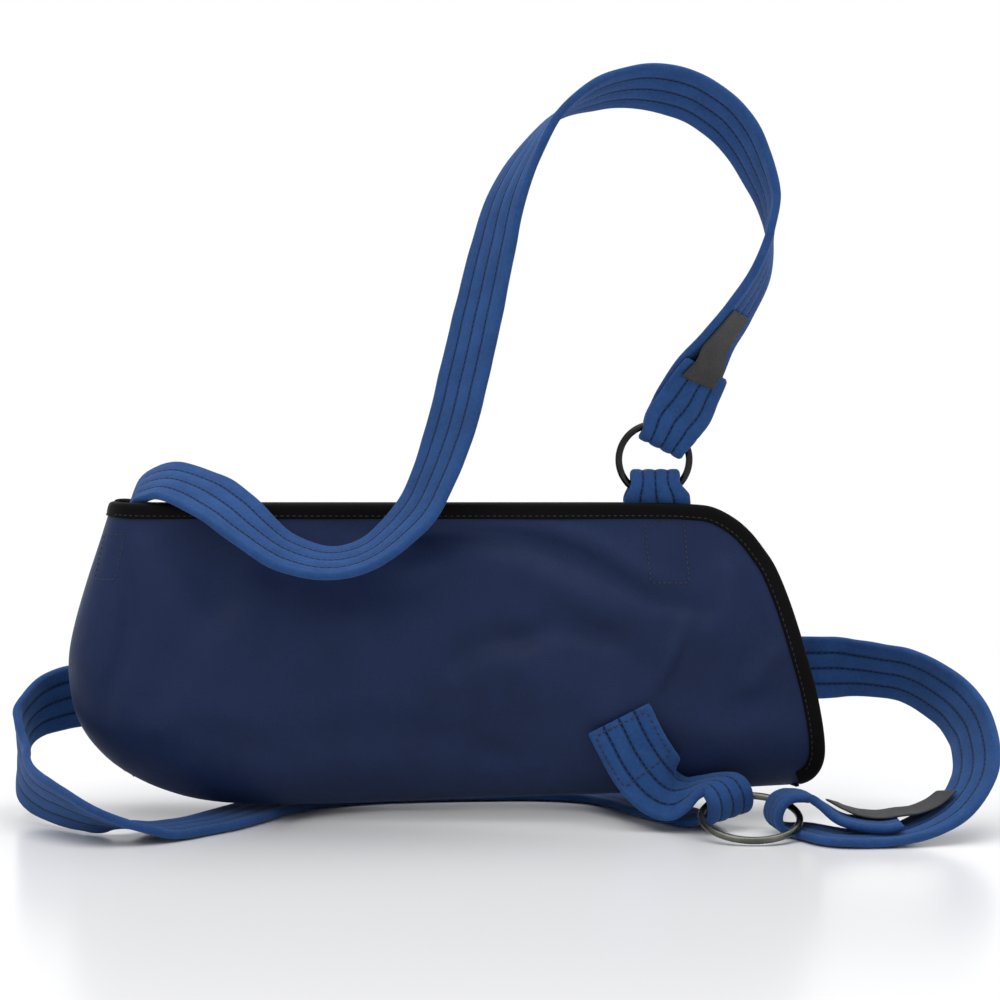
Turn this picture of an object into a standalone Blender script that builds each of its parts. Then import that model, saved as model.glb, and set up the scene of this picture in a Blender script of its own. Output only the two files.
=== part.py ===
"""Arm sling: a folded forearm pouch with bound edges, a padded shoulder strap that closes on a
wire ring, and a padded waist strap that closes on a second, larger wire ring.

+Z is up, and the bottom centre of the whole object's box stands at the world origin. X runs along
the forearm, from the closed elbow end (-X) to the open hand end (+X). The front faces -Y and the
back faces +Y. Left is -X and right is +X.
Lengths are in millimetres, with x and y measured from the middle of the pouch and z from the
floor. add_object moves them by BOX_CENTRE and scales them to metres.
"""

import math
from collections import namedtuple

import bmesh
import bpy
import numpy as np

MM = 0.001
BOX_CENTRE = np.array((30.71, -13.07, 0.0))  # bottom centre of the whole object's box

# Pouch
RIM_Z = 181.0  # height of the straight top edge
PANEL_THICKNESS = 2.5
FOLD_GAP = 0.25  # half the gap between front and back panel along the fold
BACK_RIM_DROP = 3.0  # the back panel's rim sits a little lower
DROP_START_Z = 60.0  # the drop grows from nothing here ...
DROP_RISE = 120.0  # ... to its full size this far above

DEPTH_MOUTH = 26.0  # half depth of the pouch at the top edge
DEPTH_BODY = 41.0  # half depth at mid height
DEPTH_FALL = 95.0  # height over which the one becomes the other
HAND_TAPER = 0.2  # share of the depth lost towards the hand end
HAND_TAPER_START_X = 60.0
HAND_TAPER_LENGTH = 150.0

FOLD_RADIUS_MOUTH = 22.0
FOLD_RADIUS_BODY = 44.0
FOLD_RADIUS_TOP_Z = 172.0
FOLD_RADIUS_FALL = 90.0  # height over which the one radius becomes the other
ROUNDNESS = 2.4  # exponent of the fold's superellipse

BINDING_WIDTH = 9.0
BINDING_HALF = 3.2  # half thickness of the binding over the panel's edge
BINDING_CLEARANCE = 0.95  # from a panel face to the inside of the binding
PANEL_INSET = 1.9  # the panel's edge stands this far inside the binding

# Thread
THREAD_LIFT = 0.95  # from the panel's outer face to the middle of the thread
THREAD_HALF_WIDTH = 0.45
THREAD_HALF_THICKNESS = 0.35
THREAD_STEPS = 6  # points along each side of a stitched box

# Straps
STRAP_WIDTH = 38.0
STRAP_THICKNESS = 4.6
HOOK_THICKNESS = 1.2
LONGEST_STEP = 14.0  # between frames on a straight run

# Rings
RING_WIRE = 4.0
SHOULDER_RING_RADIUS = 20.0
SHOULDER_RING_CENTRE = (118.5, -8.0, 204.5)
WAIST_RING_RADIUS = 27.0
WAIST_RING_CENTRE = (169.0, -70.0, 10.3)
WAIST_RING_TILT = math.radians(16.8)  # the back side is raised

# Object origins
BODY_ORIGIN = (0.0, 0.0, 0.0)
BACK_ORIGIN = (0.0, 0.0, 4.0)  # near the bottom fold
SHOULDER_ORIGIN = (-178.0, -2.0, 186.5)  # where the shoulder strap leaves its sewn end
SHOULDER_TONGUE_ORIGIN = (130.0, -15.7, 228.0)  # where its folded-back end starts to peel
LEFT_TONGUE_ORIGIN = (122.0, -52.0, 24.0)  # where the left folded-back end starts to peel
RIGHT_TONGUE_ORIGIN = (197.4, -61.8, 23.8)  # outer face of the right roll

for old in list(bpy.data.objects):
    bpy.data.objects.remove(old, do_unlink=True)


# ---------------------------------------------------------------- materials

def material(name, colour, roughness, metallic=0.0):
    mat = bpy.data.materials.new(name)
    mat.use_nodes = True
    shader = mat.node_tree.nodes["Principled BSDF"]
    shader.inputs["Base Color"].default_value = (*colour, 1.0)
    shader.inputs["Roughness"].default_value = roughness
    shader.inputs["Metallic"].default_value = metallic
    return mat


POUCH_FABRIC = material("pouch_fabric", colour=(0.022, 0.038, 0.088), roughness=0.55)
BINDING = material("edge_binding", colour=(0.006, 0.006, 0.007), roughness=0.5)
WEBBING = material("padded_webbing", colour=(0.035, 0.105, 0.29), roughness=0.8)
THREAD = material("thread", colour=(0.008, 0.012, 0.035), roughness=0.7)
HOOK = material("hook_tape", colour=(0.045, 0.045, 0.047), roughness=0.85)
BLACK_STEEL = material("black_steel", colour=(0.012, 0.012, 0.013), roughness=0.3, metallic=1.0)
GUNMETAL = material("gunmetal", colour=(0.06, 0.062, 0.056), roughness=0.35, metallic=1.0)


# ---------------------------------------------------------------- curves and meshes

def smoothstep(value):
    value = min(max(value, 0.0), 1.0)
    return value * value * (3.0 - 2.0 * value)


def unit(vector):
    return vector / np.linalg.norm(vector)


def catmull(points, steps):
    """A Catmull-Rom curve through the control rows, with the same columns."""
    rows = np.array(points, float)
    rows = np.vstack([2 * rows[0] - rows[1], rows, 2 * rows[-1] - rows[-2]])
    out = []
    for i in range(1, len(rows) - 2):
        a, b, c, d = rows[i - 1 : i + 3]
        for k in range(steps):
            t = k / steps
            out.append(
                0.5
                * (
                    2 * b
                    + (c - a) * t
                    + (2 * a - 5 * b + 4 * c - d) * t * t
                    + (3 * b - a - 3 * c + d) * t**3
                )
            )
    out.append(rows[-2])
    return np.array(out)


def running_length(points):
    step = np.linalg.norm(np.diff(points, axis=0), axis=1)
    return np.concatenate([[0.0], np.cumsum(step)])


def evened(curve, spacing):
    """The curve's rows at an even spacing, measured along its first three columns at most."""
    length = running_length(curve[:, :3])
    count = max(2, int(round(length[-1] / spacing)) + 1)
    at = np.linspace(0.0, length[-1], count)
    return np.column_stack([np.interp(at, length, column) for column in curve.T])


def tube_faces(count, size, closed=False):
    """Faces joining a row of sections of equal size, with end caps unless the row is closed."""
    faces = []
    for k in range(count if closed else count - 1):
        here, ahead = k * size, (k + 1) % count * size
        for i in range(size):
            j = (i + 1) % size
            faces.append((here + i, here + j, ahead + j, ahead + i))
    if not closed:
        faces.append(tuple(range(size)))
        faces.append(tuple((count - 1) * size + i for i in range(size))[::-1])
    return faces


def add_object(name, verts, faces, mat, origin=BODY_ORIGIN):
    mesh = bpy.data.meshes.new(name)
    base = np.array(origin, float) - BOX_CENTRE
    local = (np.array(verts, float) - BOX_CENTRE - base) * MM
    mesh.from_pydata(local.tolist(), [], faces)
    bm = bmesh.new()
    bm.from_mesh(mesh)
    bmesh.ops.remove_doubles(bm, verts=bm.verts, dist=1e-6)
    bmesh.ops.triangulate(bm, faces=bm.faces)
    bmesh.ops.recalc_face_normals(bm, faces=bm.faces)
    if bm.calc_volume(signed=True) < 0:
        bmesh.ops.reverse_faces(bm, faces=bm.faces)
    bm.to_mesh(mesh)
    bm.free()
    mesh.shade_smooth()
    mesh.set_sharp_from_angle(angle=math.radians(40))
    mesh.materials.append(mat)
    obj = bpy.data.objects.new(name, mesh)
    obj.location = tuple(base * MM)
    bpy.context.scene.collection.objects.link(obj)


# ---------------------------------------------------------------- pouch outline and surface

# Side view of the pouch, (x, z): from the top corner at the elbow along the rim and round the
# open hand end
OPEN_EDGE = [
    (-190, RIM_Z), (-120, RIM_Z), (-40, RIM_Z), (50, RIM_Z), (118, RIM_Z), (138, RIM_Z - 0.8),
    (151, 178.5), (163, 172.5), (172, 165), (180, 155), (187, 144), (195, 124), (203, 98),
    (210, 72), (214, 48), (213.5, 34), (208, 24), (198, 17.5),
]
PANEL_CORNER_HAND = (163.0, 172.5)  # ends the panel grid's top side
# ... and from there back along the bottom fold and up the elbow end
FOLD_EDGE = [
    OPEN_EDGE[-1], (150, 15), (88, 12.5), (31, 10.5), (-36, 8.0), (-94, 6.5), (-135, 8.5),
    (-164, 16), (-187, 28), (-202, 42), (-211, 57), (-215, 74), (-215.5, 92), (-212, 111),
    (-205, 135), (-197, 159), OPEN_EDGE[0],
]
PANEL_CORNER_ELBOW = (-187.0, 28.0)  # ends the panel grid's bottom side

# Both lines have a point about every millimetre, so an index into them is also a length
OPEN_LINE = evened(catmull(OPEN_EDGE, steps=14), spacing=1.0)
FOLD_LINE = evened(catmull(FOLD_EDGE, steps=14), spacing=1.0)


def fold_distance(x, z):
    """Distance in the side view to the closed fold."""
    start, leg = FOLD_LINE[:-1], np.diff(FOLD_LINE, axis=0)
    share = np.clip((((x, z) - start) * leg).sum(axis=1) / (leg**2).sum(axis=1), 0.0, 1.0)
    away = np.sqrt((((x, z) - start - leg * share[:, None]) ** 2).sum(axis=1).min())
    return max(float(away) - 0.02, 0.0)


def half_depth(x, z):
    """Half the pouch's depth at a point of its side view: zero on the fold."""
    full = DEPTH_MOUTH + (DEPTH_BODY - DEPTH_MOUTH) * smoothstep((RIM_Z - z) / DEPTH_FALL)
    full *= 1.0 - HAND_TAPER * smoothstep((x - HAND_TAPER_START_X) / HAND_TAPER_LENGTH)
    to_body = smoothstep((FOLD_RADIUS_TOP_Z - z) / FOLD_RADIUS_FALL)
    radius = FOLD_RADIUS_MOUTH + (FOLD_RADIUS_BODY - FOLD_RADIUS_MOUTH) * to_body
    near = min(fold_distance(x, z) / radius, 1.0)
    return full * (1.0 - (1.0 - near) ** ROUNDNESS) ** (1.0 / ROUNDNESS)


def depth_slope(x, z):
    """How fast the half depth grows along x and along z."""
    away = fold_distance(x, z)
    if away < 1.2:
        # The depth is too steep to measure at the fold, so a set slope points into the pouch
        nearest = FOLD_LINE[int(((FOLD_LINE - (x, z)) ** 2).sum(axis=1).argmin())]
        middle = np.array((min(max(x, -150.0), 150.0), 95.0))
        return unit(middle - nearest) * (4.0 if away > 0.3 else 60.0)
    h = 0.6
    return (
        (half_depth(x + h, z) - half_depth(x - h, z)) / (2 * h),
        (half_depth(x, z + h) - half_depth(x, z - h)) / (2 * h),
    )


def surface(x, z, lift=0.0):
    """A point of the front panel's outer face, moved outwards by lift."""
    slope_x, slope_z = depth_slope(x, z)
    normal = unit(np.array((-slope_x, -1.0, -slope_z)))
    return np.array((x, -half_depth(x, z) - FOLD_GAP, z)) + normal * lift


def lowered(z, side):
    """The height z on this side of the pouch. side is 1 for the front and -1 for the back."""
    drop = 0.0 if side == 1 else BACK_RIM_DROP
    return z - drop * smoothstep((z - DROP_START_Z) / DROP_RISE)


def edge_inset(index, amount):
    """A point inside the pouch's outline, this far in from a point of the open edge."""
    last = len(OPEN_LINE) - 1
    tangent = unit(OPEN_LINE[min(index + 2, last)] - OPEN_LINE[max(index - 2, 0)])
    inward = np.array((tangent[1], -tangent[0]))
    # At both ends the direction turns to run along the fold
    share = smoothstep(index / 22.0)
    inward = inward * share + np.array((-0.34, -0.94)) * (1.0 - share)
    share = smoothstep((last - index) / 10.0)
    inward = inward * share + np.array((-0.35, 0.94)) * (1.0 - share)
    return OPEN_LINE[index] + inward / np.linalg.norm(inward) * amount


# ---------------------------------------------------------------- pouch panels

# Grid shares, closer together near the fold: from elbow to hand, and from bottom to top
PANEL_SHARES_ACROSS = [0.0, 0.006, 0.02, 0.045, 0.08] + [0.13 + 0.87 * k / 17 for k in range(18)]
PANEL_SHARES_UP = [0.0, 0.015, 0.05, 0.1, 0.17] + [0.25 + 0.75 * k / 7 for k in range(8)]


def nearest_index(line, point):
    return int(np.argmin(np.abs(line[:, 0] - point[0]) + np.abs(line[:, 1] - point[1])))


def along(points):
    """The line through the points, as a function of 0..1."""
    points = np.array(points)
    place = running_length(points)
    place = place / place[-1]
    return lambda t: np.array(
        (np.interp(t, place, points[:, 0]), np.interp(t, place, points[:, 1]))
    )


def coons(u, v, left, right, bottom, top):
    """Blends four edge curves, each a function of 0..1, into one patch."""
    corners = (
        left(0.0) * (1 - u) * (1 - v)
        + right(0.0) * u * (1 - v)
        + left(1.0) * (1 - u) * v
        + right(1.0) * u * v
    )
    return left(v) * (1 - u) + right(v) * u + bottom(u) * (1 - v) + top(u) * v - corners


def panel_rows():
    """The panel's grid of (x, z) points, one row per share up."""
    inner = np.array([edge_inset(k, PANEL_INSET) for k in range(len(OPEN_LINE))])
    turn = nearest_index(OPEN_LINE, PANEL_CORNER_HAND)
    low = nearest_index(FOLD_LINE, PANEL_CORNER_ELBOW)
    sides = {
        "left": along(np.vstack([FOLD_LINE[low:-2], inner[:1]])),
        "right": along(inner[turn:][::-1]),
        "bottom": along(np.vstack([inner[-1:], FOLD_LINE[2 : low + 1]])[::-1]),
        "top": along(inner[: turn + 1]),
    }
    return [[coons(u, v, **sides) for u in PANEL_SHARES_ACROSS] for v in PANEL_SHARES_UP]


def panel(name, side, origin):
    """One pouch panel as a shell."""
    rows = panel_rows()
    outer, inner = [], []
    for row in rows:
        for x, z in row:
            z = lowered(z, side)
            face, behind = surface(x, z), surface(x, z, -PANEL_THICKNESS)
            behind[1] = min(behind[1], -FOLD_GAP)
            outer.append(face * (1, side, 1))
            inner.append(behind * (1, side, 1))

    wide, high, count = len(rows[0]), len(rows), len(outer)
    faces = []
    for j in range(high - 1):
        for i in range(wide - 1):
            a = j * wide + i
            b, c, d = a + 1, a + wide + 1, a + wide
            faces.append((a, b, c, d))
            faces.append((count + d, count + c, count + b, count + a))
    # Round the border: down the elbow side, along the bottom, up the hand side, back on top
    border = (
        [j * wide for j in range(high)][::-1]
        + list(range(1, wide))
        + [j * wide + wide - 1 for j in range(1, high)]
        + [(high - 1) * wide + i for i in range(wide - 2, 0, -1)]
    )
    for a, b in zip(border, border[1:] + border[:1]):
        faces.append((b, a, count + a, count + b))
    add_object(name, outer + inner, faces, POUCH_FABRIC, origin)


# ---------------------------------------------------------------- binding

SLOT_HALF = PANEL_THICKNESS / 2 + BINDING_CLEARANCE
# Channel section: (inset from the pouch's outline, lift from the middle of the panel)
BINDING_SECTION = [
    (BINDING_WIDTH, BINDING_HALF), (3.0, BINDING_HALF), (0.9, 2.1), (0.2, 0.7),
    (0.2, -0.7), (0.9, -2.1), (3.0, -BINDING_HALF), (BINDING_WIDTH, -BINDING_HALF),
    (BINDING_WIDTH, -SLOT_HALF), (1.2, -SLOT_HALF), (1.2, SLOT_HALF), (BINDING_WIDTH, SLOT_HALF),
]


def binding_places():
    """Indices of the open line that get a section, closer together where the edge bends."""
    count = len(OPEN_LINE)
    places = {5, 8, 11, 16, 22, *range(30, count - 20, 16), count - 20, count - 17}
    for k, (x, z) in enumerate(OPEN_LINE):
        at_turn = 115 < x < 200 and z > 120 and k % 8 == 0
        at_bottom = k < count - 20 and z < 80 and k % 7 == 0
        if at_turn or at_bottom:
            places.add(k)
    return sorted(places)


def binding(name, side, origin):
    """The folded tape over a panel's open edge, along the rim and round the hand end."""
    places = binding_places()
    verts = []
    for k in places:
        for inset, lift in BINDING_SECTION:
            x, z = edge_inset(k, inset)
            point = surface(x, lowered(z, side), lift - PANEL_THICKNESS / 2)
            point[1] = min(point[1], -FOLD_GAP - 0.1)
            verts.append(point * (1, side, 1))
    faces = tube_faces(len(places), len(BINDING_SECTION))
    add_object(name, verts, faces, BINDING, origin)


for prefix, side, origin in (("front", 1, BODY_ORIGIN), ("back", -1, BACK_ORIGIN)):
    panel(f"{prefix}_panel", side, origin)
    binding(f"{prefix}_binding", side, origin)


# ---------------------------------------------------------------- box stitches

def thread_box(name, corners):
    """A closed row of thread round four corners (x, z) of the front panel's outer face."""
    corners = np.array(corners, float)
    centre = np.mean(corners, axis=0)
    verts = []
    for a, b in zip(corners, np.roll(corners, -1, axis=0)):
        for k in range(THREAD_STEPS):
            x, z = a + (b - a) * k / THREAD_STEPS
            toward = unit(centre - (x, z)) * THREAD_HALF_WIDTH
            for inward, outward in ((-1, 1), (1, 1), (1, -1), (-1, -1)):
                lift = THREAD_LIFT + outward * THREAD_HALF_THICKNESS
                verts.append(surface(x + toward[0] * inward, z + toward[1] * inward, lift))
    add_object(name, verts, tube_faces(4 * THREAD_STEPS, 4, closed=True), THREAD)


thread_box("ring_tab_box_stitch", [(112.5, 170), (134.5, 170), (137.5, 136), (115.5, 136)])
thread_box("elbow_box_stitch", [(-199, 163), (-186, 163), (-190, 138), (-204, 138)])


# ---------------------------------------------------------------- strap and ring builders

# One cross-section of a strap; across runs along its width, normal through its thickness
Frame = namedtuple("Frame", "centre tangent across normal width")


def frames(stations, spacing=1.5, longest=lambda row: LONGEST_STEP):
    """Frames along a strap's stations, every spacing or so where it bends.

    Straight runs keep fewer frames, up to longest(row) apart. A station is x, y, z, then the
    direction across the width, then an optional width.
    """
    rows = [tuple(s) + ((STRAP_WIDTH,) if len(s) == 6 else ()) for s in stations]
    curve = evened(catmull(rows, steps=8), spacing)
    out = []
    for k, row in enumerate(curve):
        centre = row[:3]
        tangent = unit(curve[min(k + 1, len(curve) - 1), :3] - curve[max(k - 1, 0), :3])
        across = unit(row[3:6] - tangent * np.dot(row[3:6], tangent))
        if 0 < k < len(curve) - 1:
            last = out[-1]
            turned = min(np.dot(last.tangent, tangent), np.dot(last.across, across))
            close = np.linalg.norm(centre - last.centre) < longest(row)
            if turned > math.cos(math.radians(15)) and close:
                continue
        out.append(Frame(centre, tangent, across, np.cross(tangent, across), row[6]))
    return out


def ribbon(name, strap_frames, thickness=STRAP_THICKNESS, mat=WEBBING, origin=BODY_ORIGIN):
    """A strap with rounded edges along the frames."""
    half = thickness / 2
    shoulder = half * 0.4  # half height of the flat side edge
    step = min(half * 0.7, 1.5)  # width of the bevel beside it
    verts = []
    for frame in strap_frames:
        edge = frame.width / 2
        for a, b in (
            (edge, shoulder), (edge - step, half), (step - edge, half), (-edge, shoulder),
            (-edge, -shoulder), (step - edge, -half), (edge - step, -half), (edge, -shoulder),
        ):
            verts.append(frame.centre + frame.across * a + frame.normal * b)
    add_object(name, verts, tube_faces(len(strap_frames), 8), mat, origin)


def ring(name, centre, radius, normal, mat):
    """A closed wire ring; normal is its axis."""
    normal = unit(np.array(normal, float))
    across = unit(np.cross(normal, (0.0, 0.0, 1.0)))
    up = np.cross(across, normal)
    wire_radius = RING_WIRE / 2
    around, about = 40, 8  # segments round the ring and round the wire
    verts = []
    for k in range(around):
        angle = 2 * math.pi * k / around
        out = across * math.cos(angle) + up * math.sin(angle)
        for i in range(about):
            turn = 2 * math.pi * i / about
            verts.append(
                np.array(centre)
                + out * (radius + wire_radius * math.cos(turn))
                + normal * (wire_radius * math.sin(turn))
            )
    add_object(name, verts, tube_faces(around, about, closed=True), mat, centre)


# ---------------------------------------------------------------- shoulder ring and its tab

# (x, y, z), from outside the front panel over into the ring, and back down in front
RING_TAB = [
    (121, -16.5, 140), (121, -15.2, 158), (121, -11.5, 171), (120.5, -3.5, 178.5),
    (119.5, 0.6, 184), (119, 0.1, 191), (119, -3.7, 195.6), (119, -8.0, 196.9),
    (119, -12.3, 195.6), (119, -16.1, 191), (119.5, -16.6, 184), (120.5, -16.3, 177),
    (121, -17.9, 165), (121.5, -20.4, 152), (122, -22.6, 138),
]
TAB_WIDTH = 37.0
TAB_NARROWING = 9.0  # taken off the width between these two heights
TAB_NARROW_START_Z = 178.0
TAB_NARROW_RISE = 6.0


def tab_width(z):
    return TAB_WIDTH - TAB_NARROWING * smoothstep((z - TAB_NARROW_START_Z) / TAB_NARROW_RISE)


tab = [(x, y, z, -1.0, 0.0, 0.0, tab_width(z)) for x, y, z in RING_TAB]
ribbon("ring_tab", frames(tab, longest=lambda row: 8.0))
ring("shoulder_ring", SHOULDER_RING_CENTRE, SHOULDER_RING_RADIUS, (0, 1, 0), BLACK_STEEL)


# ---------------------------------------------------------------- shoulder strap

# Station columns here and below: x, y, z, direction across the width (x, y, z), optional width

# The sewn end, inside the pouch
ANCHOR = [
    (-190, -0.5, 128, 0, -1, 0, 34), (-188.5, -0.5, 136, 0, -1, 0, 34),
    (-185.5, -0.5, 145, 0, -1, 0, 34), (-183.5, -0.5, 152, 0, -1, 0, 34),
    (-182.4, -0.8, 162, 0, -1, 0, 34), (-181.4, -1, 170, 0, -1, 0, 33),
    (-180.6, -1.1, 175.5, 0, -1, 0, 32),
]
# From above the sewn end, over the rim, down in front, up and over in an arch, and down to and
# round the shoulder ring
SHOULDER = [
    (-176.3, -1.6, 183.5, 0.1, -1, -0.12, 36), (-170, -4, 189.5, 0.18, -0.96, -0.23),
    (-156, -13, 192.5, 0.1, -0.92, -0.37), (-138, -26, 188, -0.1, -0.86, -0.45),
    (-122, -40, 180, -0.2, -0.84, -0.47), (-107, -51, 169, -0.2, -0.85, -0.48),
    (-88, -56, 156, -0.13, -0.9, -0.42), (-63, -58, 150, -0.02, -0.94, -0.35),
    (-40, -56, 156, 0.12, -0.93, -0.36), (-19, -50, 174, 0.37, -0.86, -0.35),
    (-8, -43, 192, 0.47, -0.82, -0.33), (3, -34, 222, 0.66, -0.73, -0.17),
    (11, -26, 254, 0.69, -0.71, -0.14), (19, -18, 289, 0.67, -0.73, -0.14),
    (26, -12, 320, 0.62, -0.77, -0.12), (34, -7, 351, 0.51, -0.85, -0.13),
    (45, -3, 374, 0.35, -0.93, -0.07), (63, 1, 399, 0.06, -1, 0),
    (85, 3, 411, -0.09, -0.94, 0.31), (102, 4, 415, -0.1, -0.87, 0.48),
    (121, 4, 415, -0.01, -0.76, 0.65), (141, 3, 409, 0.13, -0.74, 0.66),
    (157, 0, 398, 0.33, -0.77, 0.53), (168, -2, 385, 0.37, -0.83, 0.42),
    (177, -4, 367, 0.36, -0.91, 0.16), (183, -6, 350, 0.2, -0.97, 0.05),
    (183.5, -9, 331, -0.1, -1, 0), (178, -11, 309, -0.3, -0.95, 0.12),
    (166, -11, 288, -0.36, -0.9, 0.25), (154, -8.5, 271, -0.43, -0.84, 0.32),
    (144, -5.5, 255, -0.66, -0.65, 0.36, 38), (137, -3.9, 241, -0.8, -0.43, 0.41, 36),
    (131.5, -3.0, 230, -0.89, -0.1, 0.45, 33), (127.5, -2.6, 222, -0.89, 0, 0.45, 32),
    (123.9, -3.9, 215.2, -0.89, 0, 0.45, 28), (122.3, -8.0, 212.3, -0.89, 0, 0.45, 28),
    (123.9, -12.1, 215.2, -0.89, 0, 0.45, 28), (127.5, -13.4, 222, -0.89, 0, 0.45, 32),
    (129.6, -13.5, 226, -0.89, 0, 0.45, 33),
]
RETURN_Y = -11.0  # the strap's returning end lies in front of this

# Distances from the middle of the strap to the middle of what lies on it
TONGUE_OFFSET = STRAP_THICKNESS + 0.6
TONGUE_PEEL = 5.3  # added to it at the ring end
HOOK_OVER_TONGUE = TONGUE_OFFSET + STRAP_THICKNESS / 2 + 1.4
HOOK_OVER_STRAP = STRAP_THICKNESS / 2 + 1.2
SHOULDER_HOOK_WIDTH = 23.0


def near_ring(point):
    return point[0] > 120.0 and point[2] < 300.0


def layered(low, high, offset, width=None):
    """Frames of a second layer on the shoulder strap near the ring, upwards from low to high."""
    out = []
    for frame in shoulder[::-1]:
        centre = frame.centre
        if near_ring(centre) and low <= centre[2] <= high and centre[1] > RETURN_Y:
            moved = centre - frame.normal * offset(centre[2])
            out.append(
                Frame(moved, -frame.tangent, frame.across, -frame.normal, width or frame.width)
            )
    return out


def tongue_offset(z):
    return TONGUE_OFFSET + TONGUE_PEEL * (1.0 - smoothstep((z - 226.0) / 24.0))


def hook_offset(z):
    """Steps down from the tongue's face to the strap's."""
    step = HOOK_OVER_TONGUE - HOOK_OVER_STRAP
    return HOOK_OVER_TONGUE - step * smoothstep((z - 258.0) / 12.0)


ribbon("shoulder_strap_anchor", frames(ANCHOR))
shoulder = frames(SHOULDER, 1.0, lambda row: 4.0 if near_ring(row) else LONGEST_STEP)
ribbon("shoulder_strap", shoulder, origin=SHOULDER_ORIGIN)
ribbon("shoulder_tongue", layered(229.5, 259.0, tongue_offset), origin=SHOULDER_TONGUE_ORIGIN)
hook_tab = layered(249.0, 291.0, hook_offset, SHOULDER_HOOK_WIDTH)
ribbon("shoulder_hook_tab", hook_tab, HOOK_THICKNESS, HOOK, SHOULDER_TONGUE_ORIGIN)


# ---------------------------------------------------------------- waist strap and ring

# Across the back of the pouch, (x, y, z); its width runs along Z
WAIST_BACK = [
    (-196, 44.6, 66), (-150, 46.3, 68), (-60, 46.4, 71), (30, 46.3, 74), (100, 44.6, 76),
    (150, 41.3, 78), (196, 39.5, 79),
]
# Round the elbow end to the floor, under the pouch and up through the waist ring
WAIST_LEFT = [
    (-214, 43.5, 63, 0, -0.1, 1), (-226, 40, 61, 0, -0.14, 1), (-238, 31, 57, -0.04, -0.4, 0.9),
    (-245, 18, 50, -0.08, -0.79, 0.6), (-245, 4, 42, 0.05, -0.97, 0.15),
    (-242, -12, 31, 0.28, -0.9, 0.3), (-236, -28, 23.5, 0.35, -0.86, 0.36),
    (-224, -46, 18.5, 0.34, -0.86, 0.37), (-206, -67, 15.5, 0.37, -0.86, 0.33),
    (-188, -80, 12, 0.38, -0.88, 0.26), (-170, -80, 7.5, 0.3, -0.94, 0.14),
    (-156, -70, 3.4, 0.36, -0.93, 0.02), (-143, -56, 2.5, 0.55, -0.83, 0),
    (-131, -42, 2.4, 0.75, -0.65, 0), (-120, -24, 2.4, 0.87, -0.48, 0),
    (-108, 0, 2.4, 0.87, -0.48, 0), (-88, 28, 2.4, 0.65, -0.76, 0), (-56, 47, 2.4, 0.3, -0.95, 0),
    (-20, 56, 2.4, 0.1, -1, 0), (20, 60, 2.4, 0, -1, 0), (60, 60, 2.4, -0.12, -1, 0),
    (92, 48, 2.4, -0.5, -0.85, 0), (111, 24, 2.4, -0.87, -0.5, 0),
    (119, 6, 2.4, -0.88, -0.47, 0, 36), (127, -10, 2.4, -0.87, -0.49, 0, 34),
    (136, -24, 2.6, -0.84, -0.54, 0, 32), (144, -35.5, 3.4, -0.82, -0.56, -0.05, 31),
    (149.5, -42, 5.4, -0.82, -0.55, -0.12, 31), (153.5, -46.3, 7.6, -0.82, -0.55, -0.166, 31),
    (156.6, -50.4, 7.9, -0.82, -0.55, -0.166, 31), (158.7, -54.3, 10.0, -0.82, -0.55, -0.166, 31),
    (159.3, -56.5, 14.4, -0.82, -0.55, -0.166, 31), (158.6, -57.1, 19.4, -0.82, -0.55, -0.166, 31),
    (156.6, -55.1, 23.6, -0.82, -0.55, -0.166, 31), (153.5, -51.7, 25.9, -0.81, -0.56, -0.17, 31),
]
# Goes on from WAIST_LEFT, folded back from the ring
WAIST_TONGUE_LEFT = [
    (148.5, -48.5, 25.6, -0.62, -0.74, -0.2, 32), (142, -47.4, 23.6, -0.42, -0.84, -0.24, 34),
    (135, -47.2, 21, -0.42, -0.8, -0.38, 36), (127.5, -47.4, 20.6, -0.55, -0.62, -0.55, 37),
    (120.5, -48.4, 24.6, -0.72, -0.4, -0.57), (113.5, -48.8, 32.8, -0.86, -0.15, -0.48),
    (105.5, -48.2, 45.5, -0.93, 0, -0.36), (97, -46.8, 62, -0.93, 0, -0.36),
]
LEFT_SPLIT_X = 124.0  # where strap and tongue part
# Round the hand end to the floor and up through the waist ring
WAIST_RIGHT = [
    (220, 39.5, 79.5, 0, -0.15, 1), (230, 41, 79.4, 0.03, -0.25, 0.96),
    (240, 41, 79, 0.06, -0.4, 0.9), (254, 36, 78, 0.1, -0.52, 0.84),
    (268, 29, 76, 0.2, -0.58, 0.77), (280, 18, 71, 0.26, -0.62, 0.74),
    (290, 3, 64, 0.34, -0.7, 0.63), (296, -14, 56, 0.4, -0.79, 0.47),
    (298, -29, 47, 0.42, -0.84, 0.33), (297, -44, 37, 0.4, -0.9, 0.19),
    (292.5, -57, 28, 0.33, -0.94, 0.06), (285, -67, 20, 0.26, -0.96, -0.03),
    (275, -75, 13, 0.2, -0.97, -0.1), (262, -80, 7, 0.12, -0.99, -0.08),
    (248, -84, 3.2, 0.06, -1, 0), (232, -87, 2.5, 0.05, -1, 0, 37),
    (217.5, -88, 2.6, 0.12, -1, 0, 34), (207.5, -77.5, 2.6, 0.18, -0.98, 0, 29),
    (198.5, -66.5, 2.6, 0.12, -0.99, 0, 27), (191, -64.4, 2.8, 0.1, -0.99, 0, 26),
    (185.2, -64.3, 4.6, 0.16, -0.98, 0, 26), (182.2, -64.7, 9, 0.2, -0.98, 0, 26),
    (182.4, -64.7, 13.6, 0.2, -0.98, 0, 26), (185.2, -64.1, 18.9, 0.2, -0.98, 0, 26),
    (190.2, -63.1, 21.4, 0.2, -0.98, 0, 26), (194.5, -62.3, 21.5, 0.2, -0.98, 0, 26),
]
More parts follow.
